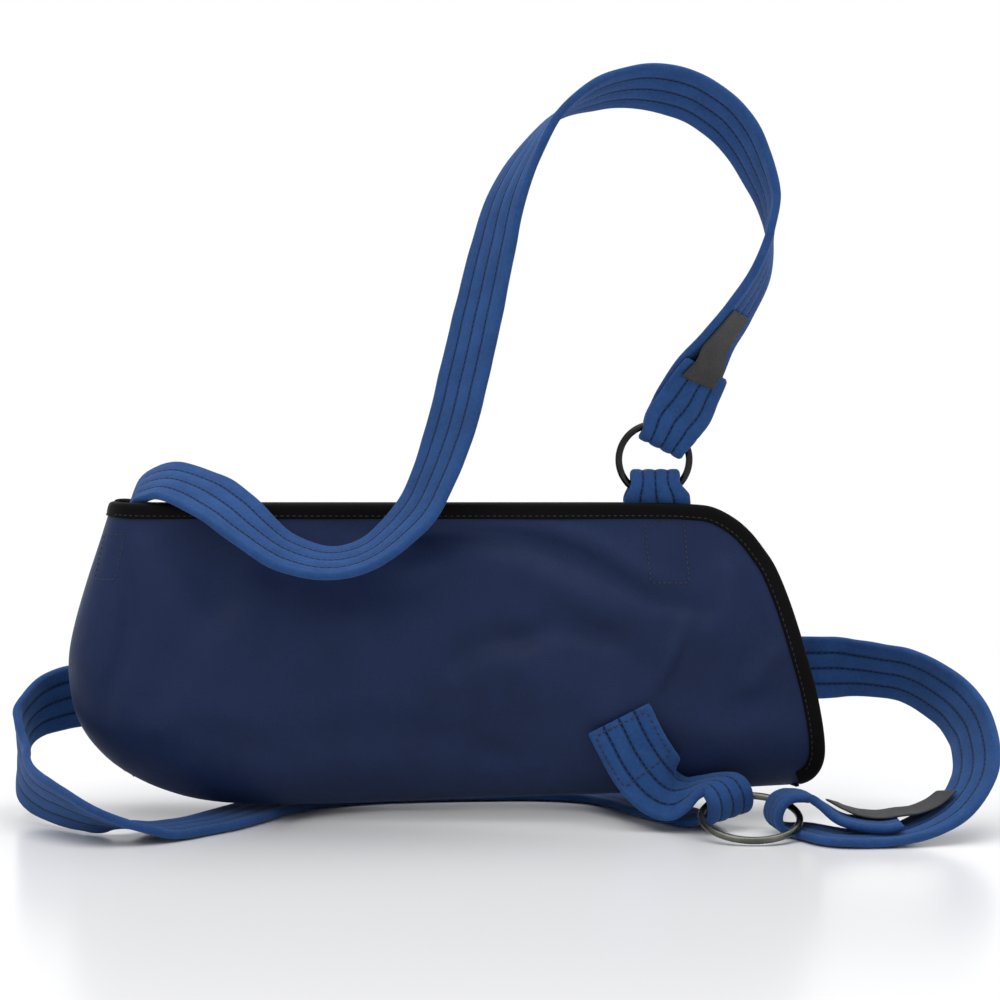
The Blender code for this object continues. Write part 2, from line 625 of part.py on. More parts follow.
WAIST_TONGUE_RIGHT = [
    (197.4, -61.8, 21.3, 0.2, -0.98, 0, 26), (202.0, -61.4, 20.0, 0.2, -0.98, 0, 28),
    (210, -64, 15.2, 0.16, -0.98, 0, 31), (219, -70, 10.6, 0.1, -0.99, 0, 34),
    (229, -75, 8.6, 0.05, -0.99, 0, 36), (240, -77, 8.2, 0.05, -0.99, 0, 37),
    (250, -77, 10.0, 0.06, -0.99, 0, 36),
]
# Above the right tongue and on past its end
WAIST_HOOK_STRIP = [
    (214, -61, 18.3, 0.14, -0.98, 0, 22), (221.5, -65, 15.2, 0.1, -0.98, 0, 23),
    (230, -68, 12.8, 0.05, -0.99, 0, 24), (240, -70, 12.1, 0.05, -0.99, 0, 24),
    (250, -70, 13.5, 0.06, -0.99, 0, 24), (260, -69, 14.6, 0.12, -0.99, 0, 22),
    (270, -65, 18.0, 0.2, -0.97, 0, 20), (279, -59, 23.6, 0.26, -0.96, 0.03, 18),
]

waist_back = frames([(*place, 0, 0, 1) for place in WAIST_BACK], longest=lambda row: 60.0)
ribbon("waist_strap_back", waist_back, origin=BACK_ORIGIN)

# The left limb and its tongue are one curve; the frame left out at the split keeps them apart
left = frames(WAIST_LEFT + WAIST_TONGUE_LEFT)
split = max(k for k, frame in enumerate(left) if frame.centre[0] > LEFT_SPLIT_X)
ribbon("waist_strap_left", left[: split + 1])
ribbon("waist_tongue_left", left[split + 2 :], origin=LEFT_TONGUE_ORIGIN)

ribbon("waist_strap_right", frames(WAIST_RIGHT))
ribbon("waist_tongue_right", frames(WAIST_TONGUE_RIGHT), origin=RIGHT_TONGUE_ORIGIN)
ribbon("waist_hook_strip", frames(WAIST_HOOK_STRIP), HOOK_THICKNESS, HOOK, RIGHT_TONGUE_ORIGIN)

waist_ring_axis = (0, -math.sin(WAIST_RING_TILT), math.cos(WAIST_RING_TILT))
ring("waist_ring", WAIST_RING_CENTRE, WAIST_RING_RADIUS, waist_ring_axis, GUNMETAL)
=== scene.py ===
"""An arm sling: a slack cloth pouch with bound open edges, a padded shoulder strap that folds round
a black ring at its right end, and a padded waist strap whose two ends fold round a ring at the foot.

Lengths are in millimetres. x runs from the elbow end (left) to the hand end (right), the front
faces -y and z is up from the floor. place() takes them to the model's frame, in metres.
"""
import math

import bpy
import numpy as np
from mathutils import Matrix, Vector


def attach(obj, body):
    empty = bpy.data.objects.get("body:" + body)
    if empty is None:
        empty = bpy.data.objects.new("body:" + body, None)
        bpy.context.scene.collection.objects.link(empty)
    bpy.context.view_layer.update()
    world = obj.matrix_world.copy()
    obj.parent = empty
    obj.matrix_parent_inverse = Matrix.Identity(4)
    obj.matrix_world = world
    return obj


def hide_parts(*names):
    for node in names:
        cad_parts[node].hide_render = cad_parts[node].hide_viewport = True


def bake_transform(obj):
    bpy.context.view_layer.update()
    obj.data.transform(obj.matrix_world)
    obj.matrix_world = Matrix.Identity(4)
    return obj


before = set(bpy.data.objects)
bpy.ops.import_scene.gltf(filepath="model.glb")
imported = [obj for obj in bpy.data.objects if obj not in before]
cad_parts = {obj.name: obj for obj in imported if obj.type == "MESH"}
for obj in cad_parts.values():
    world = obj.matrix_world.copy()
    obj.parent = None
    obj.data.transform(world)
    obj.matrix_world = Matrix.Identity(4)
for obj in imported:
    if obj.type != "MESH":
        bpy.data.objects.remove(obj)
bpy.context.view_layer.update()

# ---------------------------------------------------------------- driving dimensions

MIDDLE = np.array((30.71, -13.07, 0.0))  # the model frame's origin
MM = 0.001
FRONT, BACK = 1, -1  # the pouch's two sides

RIM_Z = 181.0
BACK_RIM_DROP = 3.0
DEPTH_MOUTH, DEPTH_BODY = 26.0, 41.0  # half depths of the pouch
FOLD_RADIUS_MOUTH, FOLD_RADIUS_BODY, ROUNDNESS = 22.0, 44.0, 2.4
CLOTH = 2.2
OPEN_INSET = 1.6  # from the open edge's line in to the cloth's edge

TAPE_WIDTH, TAPE_HALF = 9.0, 2.75
TAPE_SEAM = TAPE_WIDTH - 1.7  # the sewn row's inset
TAPE_PITCH = 3.4

STRAP_WIDTH, STRAP_THICKNESS = 38.0, 4.6
STRAP_HALF = STRAP_THICKNESS / 2
CHANNELS = 4  # padded channels across a strap
CHANNEL = STRAP_WIDTH / CHANNELS
QUILT_PITCH = 3.5  # stitch pitch of the quilting rows
STRAP_CELLS = 44  # points across the flat of a strap's face
EDGE_REACH = 1.05  # depth of the rounded edge, over the half thickness
STRAP_END = 1.4  # length over which a strap's end rounds off
HOOK_HALF, HOOK_END = 0.7, 0.5
LAYER_GAP = STRAP_THICKNESS + 0.5  # between the centres of two straps laid together

BOX_PITCH, BOX_LIFT = 3.0, 0.12  # sewn boxes: stitch pitch and lift off the face
UV_LENGTH = 10.0  # millimetres for each unit of the strap map's length


# ---------------------------------------------------------------- points and curves

def place(points):
    return (np.asarray(points, float) - MIDDLE) * MM


def spot(x, y, z):
    return tuple(place((x, y, z)))


def smooth(value):
    value = np.clip(value, 0.0, 1.0)
    return value * value * (3.0 - 2.0 * value)


def unit(vector):
    return vector / np.linalg.norm(vector)


def unit_rows(vectors):
    return vectors / np.linalg.norm(vectors, axis=1)[:, None]


def lengths(points):
    """The distance run at each point of a path."""
    return np.concatenate([[0.0], np.cumsum(np.linalg.norm(np.diff(points, axis=0), axis=1))])


def sample(at, run, rows):
    """Each column of rows, interpolated at one or more distances."""
    return np.stack([np.interp(at, run, column) for column in rows.T], axis=-1)


def catmull(points, steps):
    rows = np.array(points, float)
    rows = np.vstack([2 * rows[0] - rows[1], rows, 2 * rows[-1] - rows[-2]])
    out = []
    for i in range(1, len(rows) - 2):
        a, b, c, d = rows[i - 1 : i + 3]
        for k in range(steps):
            t = k / steps
            square = (2 * a - 5 * b + 4 * c - d) * t * t
            cube = (3 * b - a - 3 * c + d) * t**3
            out.append(0.5 * (2 * b + (c - a) * t + square + cube))
    out.append(rows[-2])
    return np.array(out)


def evened(curve, spacing):
    """The curve resampled at an even spacing of its first three columns."""
    run = lengths(curve[:, :3])
    count = max(2, int(round(run[-1] / spacing)) + 1)
    return sample(np.linspace(0.0, run[-1], count), run, curve)


def ripple(points, scale, seed):
    """A smooth field of small bumps from nine turned sine waves, mostly between -1 and 1."""
    random = np.random.default_rng(seed)
    total = np.zeros(len(points))
    for _ in range(9):
        way = unit(random.normal(size=3))
        size = scale * (0.6 + 0.9 * random.random())
        total += np.sin((points @ way) * 2 * math.pi / size + random.random() * 6.283)
    return total / 4.2


# ---------------------------------------------------------------- node helpers

class Nodes:
    """Short calls that add a node to a tree and give back its output."""

    def __init__(self, tree):
        self.tree = tree

    def feed(self, socket, value):
        """Sets a socket to a number or an RGB colour, or links an output to it."""
        if isinstance(value, (int, float)):
            socket.default_value = value
        elif isinstance(value, tuple):
            socket.default_value = (*value, 1.0)
        else:
            self.tree.links.new(value, socket)

    def add(self, kind, inputs=None, **settings):
        made = self.tree.nodes.new(kind)
        for key, value in settings.items():
            setattr(made, key, value)
        for key, value in (inputs or {}).items():
            self.feed(made.inputs[key], value)
        return made

    def maths(self, operation, *values):
        inputs = dict(enumerate(values))
        return self.add("ShaderNodeMath", inputs, operation=operation).outputs[0]

    def ramp(self, value, low, high, start=0.0, end=1.0):
        """A smooth step from start to end as the value goes from low to high."""
        inputs = {"Value": value, "From Min": low, "From Max": high, "To Min": start, "To Max": end}
        made = self.add("ShaderNodeMapRange", inputs, interpolation_type="SMOOTHSTEP")
        return made.outputs["Result"]

    def mix(self, factor, a, b):
        inputs = {"Factor": factor, 6: a, 7: b}
        return self.add("ShaderNodeMix", inputs, data_type="RGBA").outputs[2]


class Surface(Nodes):
    """A new material, textured in object space."""

    def __init__(self, name):
        self.material = bpy.data.materials.new(name)
        self.material.use_nodes = True
        super().__init__(self.material.node_tree)
        self.where = self.add("ShaderNodeTexCoord").outputs["Object"]

    def noise(self, scale, detail, roughness):
        inputs = {"Vector": self.where, "Scale": scale, "Detail": detail, "Roughness": roughness}
        return self.add("ShaderNodeTexNoise", inputs).outputs["Fac"]

    def bump(self, height, strength, distance, normal=None):
        inputs = {"Height": height, "Strength": strength, "Distance": distance}
        if normal is not None:
            inputs["Normal"] = normal
        return self.add("ShaderNodeBump", inputs).outputs["Normal"]

    def strap_map(self):
        """The strap map: length in UV_LENGTH units, and share of the width."""
        uv = self.add("ShaderNodeUVMap", uv_map="strap").outputs["UV"]
        split = self.add("ShaderNodeSeparateXYZ", {"Vector": uv})
        return split.outputs["X"], split.outputs["Y"]

    def shade(self, values):
        """Sets the principled shader's inputs and gives back the material."""
        shader = self.tree.nodes["Principled BSDF"]
        for key, value in values.items():
            self.feed(shader.inputs[key], value)
        return self.material


def scaled(colour, share):
    return tuple(c * share for c in colour)


# ---------------------------------------------------------------- materials

BLUE = (0.022, 0.073, 0.228)
DARK = (0.004, 0.010, 0.036)


def webbing_material():
    """Padded webbing: fine pile, a quilted groove on each sewn row with painted shade darkening it,
    and the thread in it.
    """
    surface = Surface("padded_webbing")
    maths, ramp, mix = surface.maths, surface.ramp, surface.mix
    pile = surface.noise(scale=2600.0, detail=3.0, roughness=0.65)
    brushed = surface.noise(scale=420.0, detail=3.0, roughness=0.6)
    patch = surface.noise(scale=55.0, detail=3.0, roughness=0.55)
    tone = mix(ramp(patch, low=0.3, high=0.72), scaled(BLUE, 0.84), scaled(BLUE, 1.13))
    pale = tuple(c * 1.35 + 0.006 for c in BLUE)
    tone = mix(ramp(brushed, low=0.35, high=0.7, end=0.35), tone, pale)
    tone = mix(ramp(pile, low=0.42, high=0.62, start=0.5, end=0.0), tone, scaled(BLUE, 0.55))
    normal = surface.bump(brushed, strength=0.35, distance=0.0006)
    normal = surface.bump(pile, strength=0.5, distance=0.00035, normal=normal)

    # away: millimetres from the nearest row line; inside: leaves the strap's edges plain
    along, across = surface.strap_map()
    wave = maths("FRACT", maths("ADD", maths("MULTIPLY", across, float(CHANNELS)), 0.5))
    away = maths("MULTIPLY", maths("ABSOLUTE", maths("SUBTRACT", wave, 0.5)), CHANNEL)
    inside = ramp(maths("ABSOLUTE", across), low=0.38, high=0.40, start=1.0, end=0.0)
    beat = maths("FRACT", maths("MULTIPLY", along, UV_LENGTH / QUILT_PITCH))
    dash_end = ramp(beat, low=0.72, high=0.8, start=1.0, end=0.0)
    dash = maths("MULTIPLY", ramp(beat, low=0.02, high=0.1), dash_end)
    # The groove mask shapes the padding's bump and also sets where painted shade darkens the colour
    groove_and_shade = maths("MULTIPLY", ramp(away, low=0.25, high=1.5, start=1.0, end=0.0), inside)
    line = maths("MULTIPLY", ramp(away, low=0.3, high=0.55, start=1.0, end=0.0), dash)
    thread = maths("MULTIPLY", line, inside)
    # Painted shade: the colour darkens towards each sewn row, down in the quilted groove
    tone = mix(maths("MULTIPLY", groove_and_shade, 0.62), tone, scaled(BLUE, 0.3))
    tone = mix(thread, tone, DARK)
    padding = maths("SUBTRACT", 1.0, groove_and_shade)
    normal = surface.bump(padding, strength=0.55, distance=0.0009, normal=normal)
    normal = surface.bump(thread, strength=0.8, distance=0.0005, normal=normal)
    return surface.shade({
        "Base Color": tone, "Normal": normal, "Roughness": 0.92, "Specular IOR Level": 0.15,
        "Sheen Weight": 0.2, "Sheen Roughness": 0.45, "Sheen Tint": (0.42, 0.6, 1.0),
    })


def pouch_material():
    """Close-woven laminated cloth: a very fine weave under a soft sheen."""
    surface = Surface("pouch_cloth")
    ramp, mix = surface.ramp, surface.mix
    inputs = {"Vector": surface.where, "Scale": 190.0, "Distortion": 0.6, "Detail": 1.0}
    waves = [
        surface.add("ShaderNodeTexWave", inputs, bands_direction=way).outputs["Fac"]
        for way in ("X", "Z")
    ]
    weave = surface.maths("MULTIPLY", *waves)
    grain = surface.noise(scale=900.0, detail=4.0, roughness=0.6)
    patch = surface.noise(scale=14.0, detail=3.0, roughness=0.55)
    fine = surface.noise(scale=60.0, detail=3.0, roughness=0.55)
    tone = mix(ramp(patch, low=0.3, high=0.72), (0.0085, 0.0175, 0.058), (0.013, 0.026, 0.082))
    tone = mix(ramp(fine, low=0.35, high=0.75, end=0.3), tone, (0.015, 0.030, 0.09))
    tone = mix(ramp(grain, low=0.4, high=0.6, start=0.25, end=0.0), tone, (0.008, 0.014, 0.04))
    normal = surface.bump(fine, strength=0.16, distance=0.004)
    normal = surface.bump(weave, strength=0.25, distance=0.00025, normal=normal)
    normal = surface.bump(grain, strength=0.22, distance=0.0002, normal=normal)
    return surface.shade({
        "Base Color": tone, "Normal": normal,
        "Roughness": ramp(fine, low=0.2, high=0.8, start=0.50, end=0.62),
        "Specular IOR Level": 0.14,
        "Sheen Weight": 0.06, "Sheen Roughness": 0.4, "Sheen Tint": (0.5, 0.62, 1.0),
    })


def tape_material():
    """The knitted tape round the open edges: near black, ribbed along its length."""
    surface = Surface("binding_tape")
    rib_rate = 62.8 / 1.1  # radians for each unit of the strap map, a rib each 1.1 mm
    along, _ = surface.strap_map()
    rib = surface.maths("SINE", surface.maths("MULTIPLY", along, rib_rate))
    grain = surface.noise(scale=1500.0, detail=3.0, roughness=0.6)
    share = surface.ramp(grain, low=0.35, high=0.65)
    normal = surface.bump(rib, strength=0.25, distance=0.0002)
    return surface.shade({
        "Base Color": surface.mix(share, (0.0010, 0.0010, 0.0013), (0.0025, 0.0025, 0.0030)),
        "Normal": surface.bump(grain, strength=0.35, distance=0.0002, normal=normal),
        "Roughness": 0.65, "Specular IOR Level": 0.07,
    })


def thread_material(name, colour):
    surface = Surface(name)
    twist = surface.noise(scale=3000.0, detail=2.0, roughness=0.5)
    share = surface.ramp(twist, low=0.35, high=0.65)
    return surface.shade({
        "Base Color": surface.mix(share, scaled(colour, 0.7), scaled(colour, 1.25)),
        "Normal": surface.bump(twist, strength=0.5, distance=0.0002),
        "Roughness": 0.6,
    })


def hook_material():
    """Hook tape: rows of tiny moulded hooks, with painted shade in the gaps between them."""
    surface = Surface("hook_tape")
    inputs = {"Vector": surface.where, "Scale": 950.0, "Randomness": 0.35}
    hooks = surface.add("ShaderNodeTexVoronoi", inputs).outputs["Distance"]
    patch = surface.noise(scale=90.0, detail=3.0, roughness=0.6)
    share = surface.ramp(patch, low=0.3, high=0.7)
    tone = surface.mix(share, (0.034, 0.034, 0.036), (0.052, 0.052, 0.055))
    # Painted shade: the spaces between the hooks are darkened towards near black
    gap_shade = surface.ramp(hooks, low=0.1, high=0.55, end=0.6)
    return surface.shade({
        "Base Color": surface.mix(gap_shade, tone, (0.012, 0.012, 0.013)),
        "Normal": surface.bump(hooks, strength=0.6, distance=0.0005),
        "Roughness": 0.7, "Specular IOR Level": 0.35,
    })


def metal_material(name, colour, worn, roughness):
    surface = Surface(name)
    scratch = surface.noise(scale=260.0, detail=5.0, roughness=0.7)
    patch = surface.noise(scale=45.0, detail=3.0, roughness=0.6)
    dull = surface.ramp(scratch, low=0.3, high=0.7, start=roughness * 0.8, end=roughness * 1.25)
    return surface.shade({
        "Base Color": surface.mix(surface.ramp(patch, low=0.35, high=0.7), colour, worn),
        "Metallic": 1.0, "Roughness": dull,
        "Normal": surface.bump(scratch, strength=0.06, distance=0.0003),
    })


WEBBING = webbing_material()
POUCH = pouch_material()
TAPE = tape_material()
DARK_THREAD = thread_material("thread_dark", colour=(0.005, 0.009, 0.028))
TAPE_THREAD = thread_material("thread_black", colour=(0.006, 0.006, 0.008))
HOOK = hook_material()
BLACK_STEEL = metal_material(
    "black_ring_steel", colour=(0.02, 0.02, 0.021), worn=(0.035, 0.034, 0.033), roughness=0.28
)
GUNMETAL = metal_material(
    "gunmetal_ring", colour=(0.075, 0.077, 0.066), worn=(0.13, 0.13, 0.11), roughness=0.3
)


# ---------------------------------------------------------------- mesh building

def in_scene(name, data):
    obj = bpy.data.objects.new(name, data)
    bpy.context.scene.collection.objects.link(obj)
    return obj


def piece(name, verts, faces, material, uv=None):
    """A smooth-shaded mesh of points in millimetres. uv holds one pair for each point."""
    mesh = bpy.data.meshes.new(name)
    mesh.from_pydata(place(verts).tolist(), [], [tuple(int(i) for i in face) for face in faces])
    mesh.update()
    mesh.shade_smooth()
    if uv is not None:
        layer = mesh.uv_layers.new(name="strap")
        index = np.empty(len(mesh.loops), np.int32)
        mesh.loops.foreach_get("vertex_index", index)
        layer.data.foreach_set("uv", np.asarray(uv, np.float32)[index].ravel())
    mesh.materials.append(material)
    return in_scene(name, mesh)


def register(obj, replaces=(), ride=None):
    if replaces:
        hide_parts(*replaces)
    if ride:
        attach(obj, ride)


def tube_faces(count, around, ring=False):
    """Faces of a tube of count sections: a closed ring, or capped at both ends."""
    sections = np.arange(count if ring else count - 1)
    k, i = np.meshgrid(sections, np.arange(around), indexing="ij")
    a, b = k * around + i, k * around + (i + 1) % around
    up = ((k + 1) % count) * around
    faces = np.stack([a, b, up + (i + 1) % around, up + i], axis=-1)
    faces = faces.reshape(-1, 4)[:, ::-1].tolist()
    if not ring:
        faces.append(list(range(around)))
        faces.append([(count - 1) * around + i for i in range(around)][::-1])
    return faces


def frames(stations, spacing):
    """Evenly spaced frames along a strap: centre, direction across, face normal, width and run."""
    rows = [tuple(s) + ((STRAP_WIDTH,) if len(s) == 6 else ()) for s in stations]
    curve = evened(catmull(rows, 8), spacing)
    centre, across = curve[:, :3], curve[:, 3:6]
    tangent = unit_rows(np.gradient(centre, axis=0))
    across = unit_rows(across - tangent * (across * tangent).sum(1)[:, None])
    return {
        "centre": centre, "across": across, "normal": np.cross(tangent, across),
        "width": curve[:, 6], "run": lengths(centre),
    }


def cut(path, keep):
    return {key: value[keep] for key, value in path.items()}


def thickness_at(share, width, half, quilted):
    """Half thickness at a share of the width, from -0.5 to 0.5: padded between the sewn rows."""
    edge = (0.5 - np.abs(share)) * width
    rim = np.sqrt(1.0 - (1.0 - np.clip(edge / (half * EDGE_REACH), 0.0, 1.0)) ** 2)
    if not quilted:
        return half * 0.92 * rim
    cell = (share * CHANNELS + 2.0) % 1.0
    crown = 1.0 - np.abs(2.0 * cell - 1.0) ** 2.6
    # The outer channels rise from their row and stay full to the edge
    rise = (np.abs(share) - 0.25) * CHANNELS * 2.2
    outer = 1.0 - np.clip(1.0 - rise, 0.0, 1.0) ** 2.4
    return half * (0.66 + 0.36 * np.where(np.abs(share) < 0.25, crown, outer)) * rim


def strap_section(half):
    """Shares of the width round a strap's section, and the face each is on (1 or -1)."""
    rim = (1.0 - np.cos(np.linspace(0, math.pi / 2, 6)[:-1])) * half * EDGE_REACH / STRAP_WIDTH
    flat = 0.5 - rim[-1] - 0.012
    top = np.concatenate([0.5 - rim, np.linspace(flat, -flat, STRAP_CELLS), -(0.5 - rim)[::-1]])
    under = top[1:-1][::-1]
    return np.concatenate([top, under]), np.concatenate([np.ones(len(top)), -np.ones(len(under))])


def strap(name, path, seed, ends=(STRAP_END, STRAP_END), material=WEBBING, half=STRAP_HALF,
          quilted=True):
    """A strap along a path. ends gives how far the start and the end take to round off."""
    share, face = strap_section(half)
    run = path["run"] - path["run"][0]
    total = path["run"][-1] - path["run"][0]
    count, around = len(run), len(share)
    round_off = np.ones(count)
    for distance, reach in ((run, ends[0]), (total - run, ends[1])):
        if reach > 0:
            t = np.clip(distance / reach, 0.0, 1.0)
            round_off *= np.sqrt(np.maximum(1.0 - (1.0 - t) ** 2, 0.02))
    width = path["width"][:, None] - (1.0 - round_off[:, None]) * 1.4
    thick = thickness_at(share[None, :], width, half, quilted) * round_off[:, None]
    if quilted:
        # The cloth puckers between stitches, close to each row
        off_row = np.abs((share * CHANNELS + 2.5) % 1.0 - 0.5) * STRAP_WIDTH / CHANNELS
        close = np.exp(-((off_row / 2.2) ** 2)) * (np.abs(share) < 0.4)
        sway = 0.6 * np.sin(share * 40.0)[None, :]
        pucker = np.sin(run[:, None] * 2 * math.pi / QUILT_PITCH + sway)
        thick = thick + 0.10 * close[None, :] * pucker * (thick > 0.8)
    across = path["across"][:, None, :]
    middle = path["centre"][:, None, :] + across * (share[None, :, None] * width[..., None])

    def waver(scale, seed):
        return ripple(middle.reshape(-1, 3), scale, seed).reshape(count, around)

    thick = thick * (1.0 + 0.07 * waver(34.0, seed))
    verts = middle + path["normal"][:, None, :] * (face[None, :] * thick)[..., None]
    verts = verts + across * (0.22 * waver(26.0, seed + 50))[..., None]
    uv = np.stack(np.broadcast_arrays(run[:, None] / UV_LENGTH, share[None, :]), axis=-1)
    faces = tube_faces(count, around)
    obj = piece(name, verts.reshape(-1, 3), faces, material, uv.reshape(-1, 2))
    obj.data.set_sharp_from_angle(angle=math.radians(55))
    return obj


def hook_tape(name, path, seed):
    return strap(name, path, seed, (HOOK_END, HOOK_END), HOOK, HOOK_HALF, quilted=False)


def stitches(name, rows, material, length, radius):
    """Short capsules of thread. A row is (points, normals out of the cloth, pitch)."""
    rings = (-1.0, -0.8, -0.35, 0.35, 0.8, 1.0)  # along a stitch, over its half length
    girths = (0.12, 0.75, 1.0, 1.0, 0.75, 0.12)
    around, look = 6, 0.6  # look: how far ahead and behind the direction is taken
    capsule = [face[::-1] for face in tube_faces(len(rings), around)]
    verts, faces = [], []
    for points, normals, pitch in rows:
        run = lengths(points)
        total = run[-1]
        count = max(2, int(round(total / pitch)))
        for at in (np.arange(count) + 0.5) * total / count:
            middle = sample(at, run, points)
            ahead = sample(min(at + look, total), run, points)
            way = unit(ahead - sample(max(at - look, 0.0), run, points))
            out = sample(at, run, normals)
            out = unit(out - way * np.dot(out, way))
            side = np.cross(way, out)
            faces += [[len(verts) + i for i in face] for face in capsule]
            for ring, girth in zip(rings, girths):
                for i in range(around):
                    angle = 2 * math.pi * i / around
                    # The ends of a stitch dip into the cloth
                    lift = radius * girth * math.cos(angle) - abs(ring) ** 2 * radius * 0.9
                    sideways = side * (radius * girth * math.sin(angle))
                    verts.append(middle + way * (ring * length / 2) + sideways + out * lift)
    return piece(name, verts, faces, material)


def torus(name, centre, radius, normal, wire, material):
    """A wire ring. radius is to the middle of the wire, wire is its diameter."""
    normal = unit(np.array(normal, float))
    across = unit(np.cross(normal, (0.0, 0.0, 1.0)))
    up = np.cross(across, normal)
    around, about = 160, 28
    a = np.linspace(0, 2 * math.pi, around, endpoint=False)[:, None]
    b = np.linspace(0, 2 * math.pi, about, endpoint=False)[None, :]
    out = across * np.cos(a)[..., None] + up * np.sin(a)[..., None]
    verts = np.array(centre) + out * (radius + wire / 2 * np.cos(b))[..., None]
    verts = verts + normal * (wire / 2 * np.sin(b) + 0 * a)[..., None]
    return piece(name, verts.reshape(-1, 3), tube_faces(around, about, ring=True), material)


# ---------------------------------------------------------------- where the straps run
# Stations: x, y, z of the centre, x, y, z of the direction across the strap, and its width,
# which is STRAP_WIDTH where it is left out.

# From the pouch's left end up to the left of the rim, over the top, down to the shoulder ring and
# round it
SHOULDER = [
    (-176.3, -1.6, 183.5, 0.1, -1, -0.12, 36), (-170, -4, 189.5, 0.18, -0.96, -0.23),
    (-156, -13, 192.5, 0.1, -0.92, -0.37), (-138, -26, 188, -0.1, -0.86, -0.45),
    (-122, -40, 180, -0.2, -0.84, -0.47), (-107, -51, 169, -0.2, -0.85, -0.48),
    (-88, -56, 156, -0.13, -0.9, -0.42), (-63, -58, 150, -0.02, -0.94, -0.35),
    (-40, -56, 156, 0.12, -0.93, -0.36), (-19, -50, 174, 0.37, -0.86, -0.35),
    (-8, -43, 192, 0.47, -0.82, -0.33), (3, -34, 222, 0.66, -0.73, -0.17),
    (11, -26, 254, 0.69, -0.71, -0.14), (19, -18, 289, 0.67, -0.73, -0.14),
    (26, -12, 320, 0.62, -0.77, -0.12), (34, -7, 351, 0.51, -0.85, -0.13),
    (45, -3, 374, 0.35, -0.93, -0.07), (63, 1, 399, 0.06, -1, 0),
    (85, 3, 411, -0.09, -0.94, 0.31), (102, 4, 415, -0.1, -0.87, 0.48),
    (121, 4, 415, -0.01, -0.76, 0.65), (141, 3, 409, 0.13, -0.74, 0.66),
    (157, 0, 398, 0.33, -0.77, 0.53), (168, -2, 385, 0.37, -0.83, 0.42),
    (177, -4, 367, 0.36, -0.91, 0.16), (183, -6, 350, 0.2, -0.97, 0.05),
    (183.5, -9, 331, -0.1, -1, 0), (178, -11, 309, -0.3, -0.95, 0.12),
    (166, -11, 288, -0.36, -0.9, 0.25), (154, -8.5, 271, -0.43, -0.84, 0.32),
    (144, -5.5, 255, -0.66, -0.65, 0.36, 38), (137, -3.9, 241, -0.8, -0.43, 0.41, 36),
    (131.5, -3.0, 230, -0.89, -0.1, 0.45, 33), (127.5, -2.6, 222, -0.89, 0, 0.45, 32),
    (123.9, -3.9, 215.2, -0.89, 0, 0.45, 28), (122.3, -8.0, 212.3, -0.89, 0, 0.45, 28),
    (123.9, -12.1, 215.2, -0.89, 0, 0.45, 28), (127.5, -13.4, 222, -0.89, 0, 0.45, 32),
    (129.6, -13.5, 226, -0.89, 0, 0.45, 33),
]
# The shoulder strap's start, inside the pouch's left end
ANCHOR = [
    (-190, -0.5, 128, 0, -1, 0, 34), (-188.5, -0.5, 136, 0, -1, 0, 34),
    (-185.5, -0.5, 145, 0, -1, 0, 34), (-183.5, -0.5, 152, 0, -1, 0, 34),
    (-182.4, -0.8, 162, 0, -1, 0, 34), (-181.4, -1, 170, 0, -1, 0, 33),
]
# Centres only (x, y, z): up inside the mouth, through the ring and down the front
RING_TAB = [
    (121, -16.5, 140), (121, -15.2, 158), (121, -11.5, 171), (120.5, -3.5, 178.5),
    (119.5, 0.6, 184), (119, 0.1, 191), (119, -3.7, 195.6), (119, -8.0, 196.9),
    (119, -12.3, 195.6), (119, -16.1, 191), (119.5, -16.6, 184), (120.5, -16.3, 177),
    (121, -17.9, 165), (121.5, -20.4, 152), (122, -22.6, 138),
]

